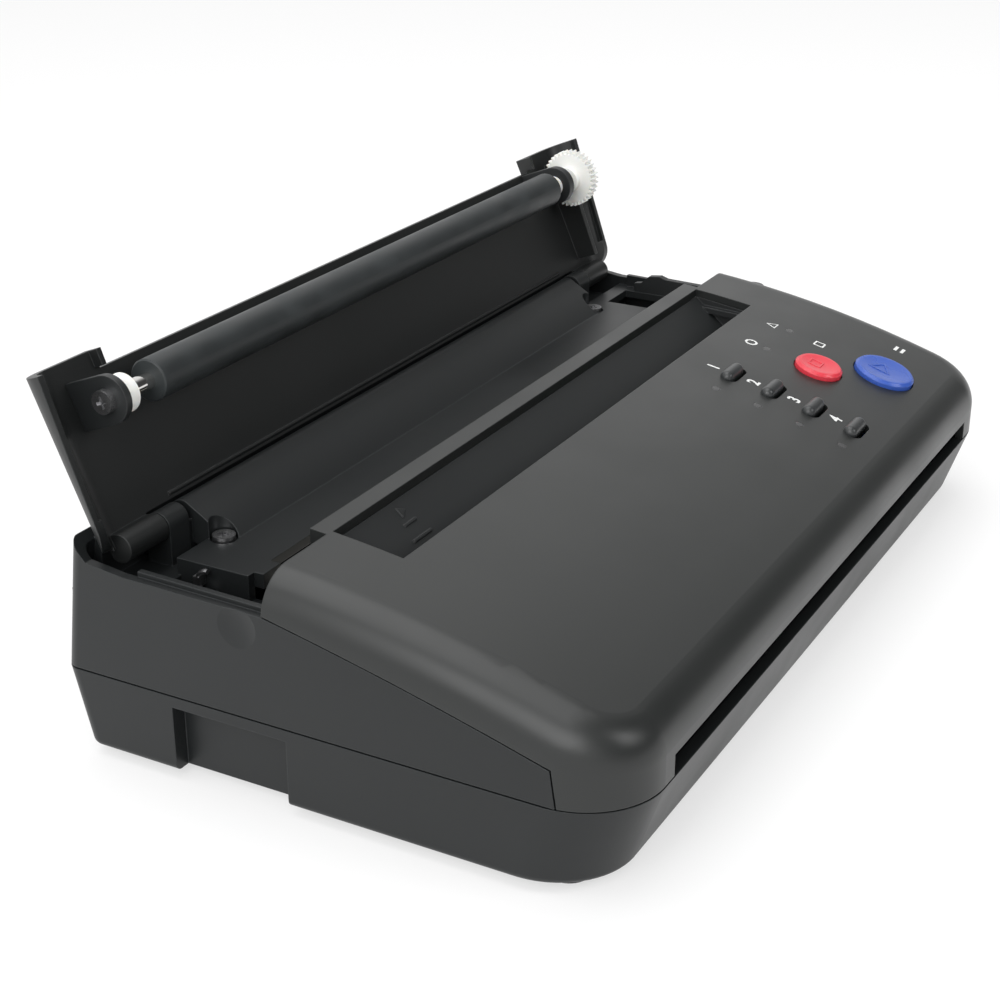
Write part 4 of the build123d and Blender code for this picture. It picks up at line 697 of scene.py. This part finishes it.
def printed(name, outline, x, y):
    """A mark at (x, y) on the cover, wrapped on its curve."""
    points, faces = outline
    mesh = bpy.data.meshes.new(name)
    mesh.from_pydata(on_cover(points + np.array([x, y, 0.0]), INK_LIFT).tolist(), [], faces)
    mark = placed(name, mesh, finish["print_white"], "chassis")
    ink = mark.modifiers.new("ink", "SOLIDIFY")
    ink.thickness = INK_THICKNESS
    return mark


print("helpers: plate, sign_outline, bar_outline, numeral, printed")

# %% Marks on the cover
NUMERAL_HEIGHT = 0.0038
BEHIND_KEY = 0.0058
for number, name in enumerate(MODE_KEYS, start=1):
    x, y = key_centres[name][:2]
    printed(f"numeral_{number}", numeral(str(number), NUMERAL_HEIGHT), x, y + BEHIND_KEY)

stop_centre = (np.array(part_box("stop_button")[0]) + np.array(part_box("stop_button")[1])) / 2
copy_centre = (np.array(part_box("copy_button")[0]) + np.array(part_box("copy_button")[1])) / 2
lamp_low, lamp_high = (np.array(corner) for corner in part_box("status_lamps"))
lamp_radius = (lamp_high[1] - lamp_low[1]) / 2
SIGN_SIZE = 0.0020
SIGN_BAND = 0.0007
RING_SIDES = 40
# A triangle or square reaches further at its corners, to look as large as the ring.
CORNER_REACH = 1.2
BAR_LENGTH = 0.0036
BAR_WIDTH = 0.0010
BAR_GAP = 0.0022
BEHIND_LAMP = 0.0050
BESIDE_STOP = (0.0184, 0.0054)
BESIDE_COPY = (0.0232, 0.0013)
lamp_mark_y = (lamp_low[1] + lamp_high[1]) / 2 + BEHIND_LAMP
ring = sign_outline(RING_SIDES, SIGN_SIZE, SIGN_BAND)
triangle = sign_outline(3, SIGN_SIZE * CORNER_REACH, SIGN_BAND, np.pi / 2)
square = sign_outline(4, SIGN_SIZE * CORNER_REACH, SIGN_BAND, np.pi / 4)
bars = bar_outline(BAR_LENGTH, BAR_WIDTH, BAR_GAP)
printed("lamp_ring", ring, lamp_low[0] + lamp_radius, lamp_mark_y)
printed("lamp_triangle", triangle, lamp_high[0] - lamp_radius, lamp_mark_y)
printed("stop_square", square, stop_centre[0] + BESIDE_STOP[0], stop_centre[1] + BESIDE_STOP[1])
printed("copy_bars", bars, copy_centre[0] + BESIDE_COPY[0], copy_centre[1] + BESIDE_COPY[1])
print("printed marks", 4 + len(MODE_KEYS))

# %% [markdown]
# ## Signs on the round keys
#
# The two round keys are dished for a fingertip and have a sign moulded in low relief. Three rays
# down each dish give its circle, which is a section of a ball, and the plain square and triangle
# used here are laid on that ball.

# %% Relief signs
RELIEF = 0.00014
RELIEF_DEPTH = RELIEF * 1.5
RELIEF_EDGE = RELIEF * 0.5
DISH_SHARE = 0.25
# Radius of the sign's corners and width of its band.
STOP_SIGN = (0.0030, 0.0009)
COPY_SIGN = (0.0042, 0.0013)


def dish_of(name):
    """Centre and radius of the ball that the key's dish is part of, and the key's middle.

    Three rays along its middle line give three points, and the circle through them the ball.
    """
    low, high = (np.array(corner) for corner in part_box(name))
    middle = (low + high) / 2
    reach = (high[1] - low[1]) * DISH_SHARE
    tree = node_tree(name)
    places = []
    for step in (-reach, 0.0, reach):
        hit = tree.ray_cast(Vector((middle[0], middle[1] + step, RAY_TOP)), DOWN)[0]
        places.append((hit.y, hit.z))
    centre, radius = circle_through(*places)
    return np.array([middle[0], centre[0], centre[1]]), radius, middle


def relief_sign(name, key, body, slot, outline):
    """A sign on a key's dish: each point drops on the ball, and the plate stands RELIEF proud."""
    centre, radius, middle = dish_of(key)
    points, faces = outline
    x = points[:, 0] + middle[0]
    y = points[:, 1] + middle[1]
    inner = radius - RELIEF
    drop = np.sqrt(inner**2 - (x - centre[0]) ** 2 - (y - centre[1]) ** 2)
    mesh = bpy.data.meshes.new(name)
    mesh.from_pydata(np.stack([x, y, centre[2] - drop], axis=-1).tolist(), [], faces)
    sign = placed(name, mesh, finish[slot], body)
    depth = sign.modifiers.new("depth", "SOLIDIFY")
    depth.thickness = RELIEF_DEPTH
    soft = sign.modifiers.new("soft_edge", "BEVEL")
    soft.width = RELIEF_EDGE
    soft.segments = 2
    return sign


stop_outline = sign_outline(4, *STOP_SIGN, np.pi / 4)
copy_outline = sign_outline(3, *COPY_SIGN, 0.0)
relief_sign("stop_sign", "stop_button", "stop_key", "stop_red", stop_outline)
relief_sign("copy_sign", "copy_button", "copy_key", "copy_blue", copy_outline)
print("relief signs 2")

# %% Finish
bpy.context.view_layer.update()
view_settings = bpy.context.scene.view_settings
view_settings.view_transform = "Standard"
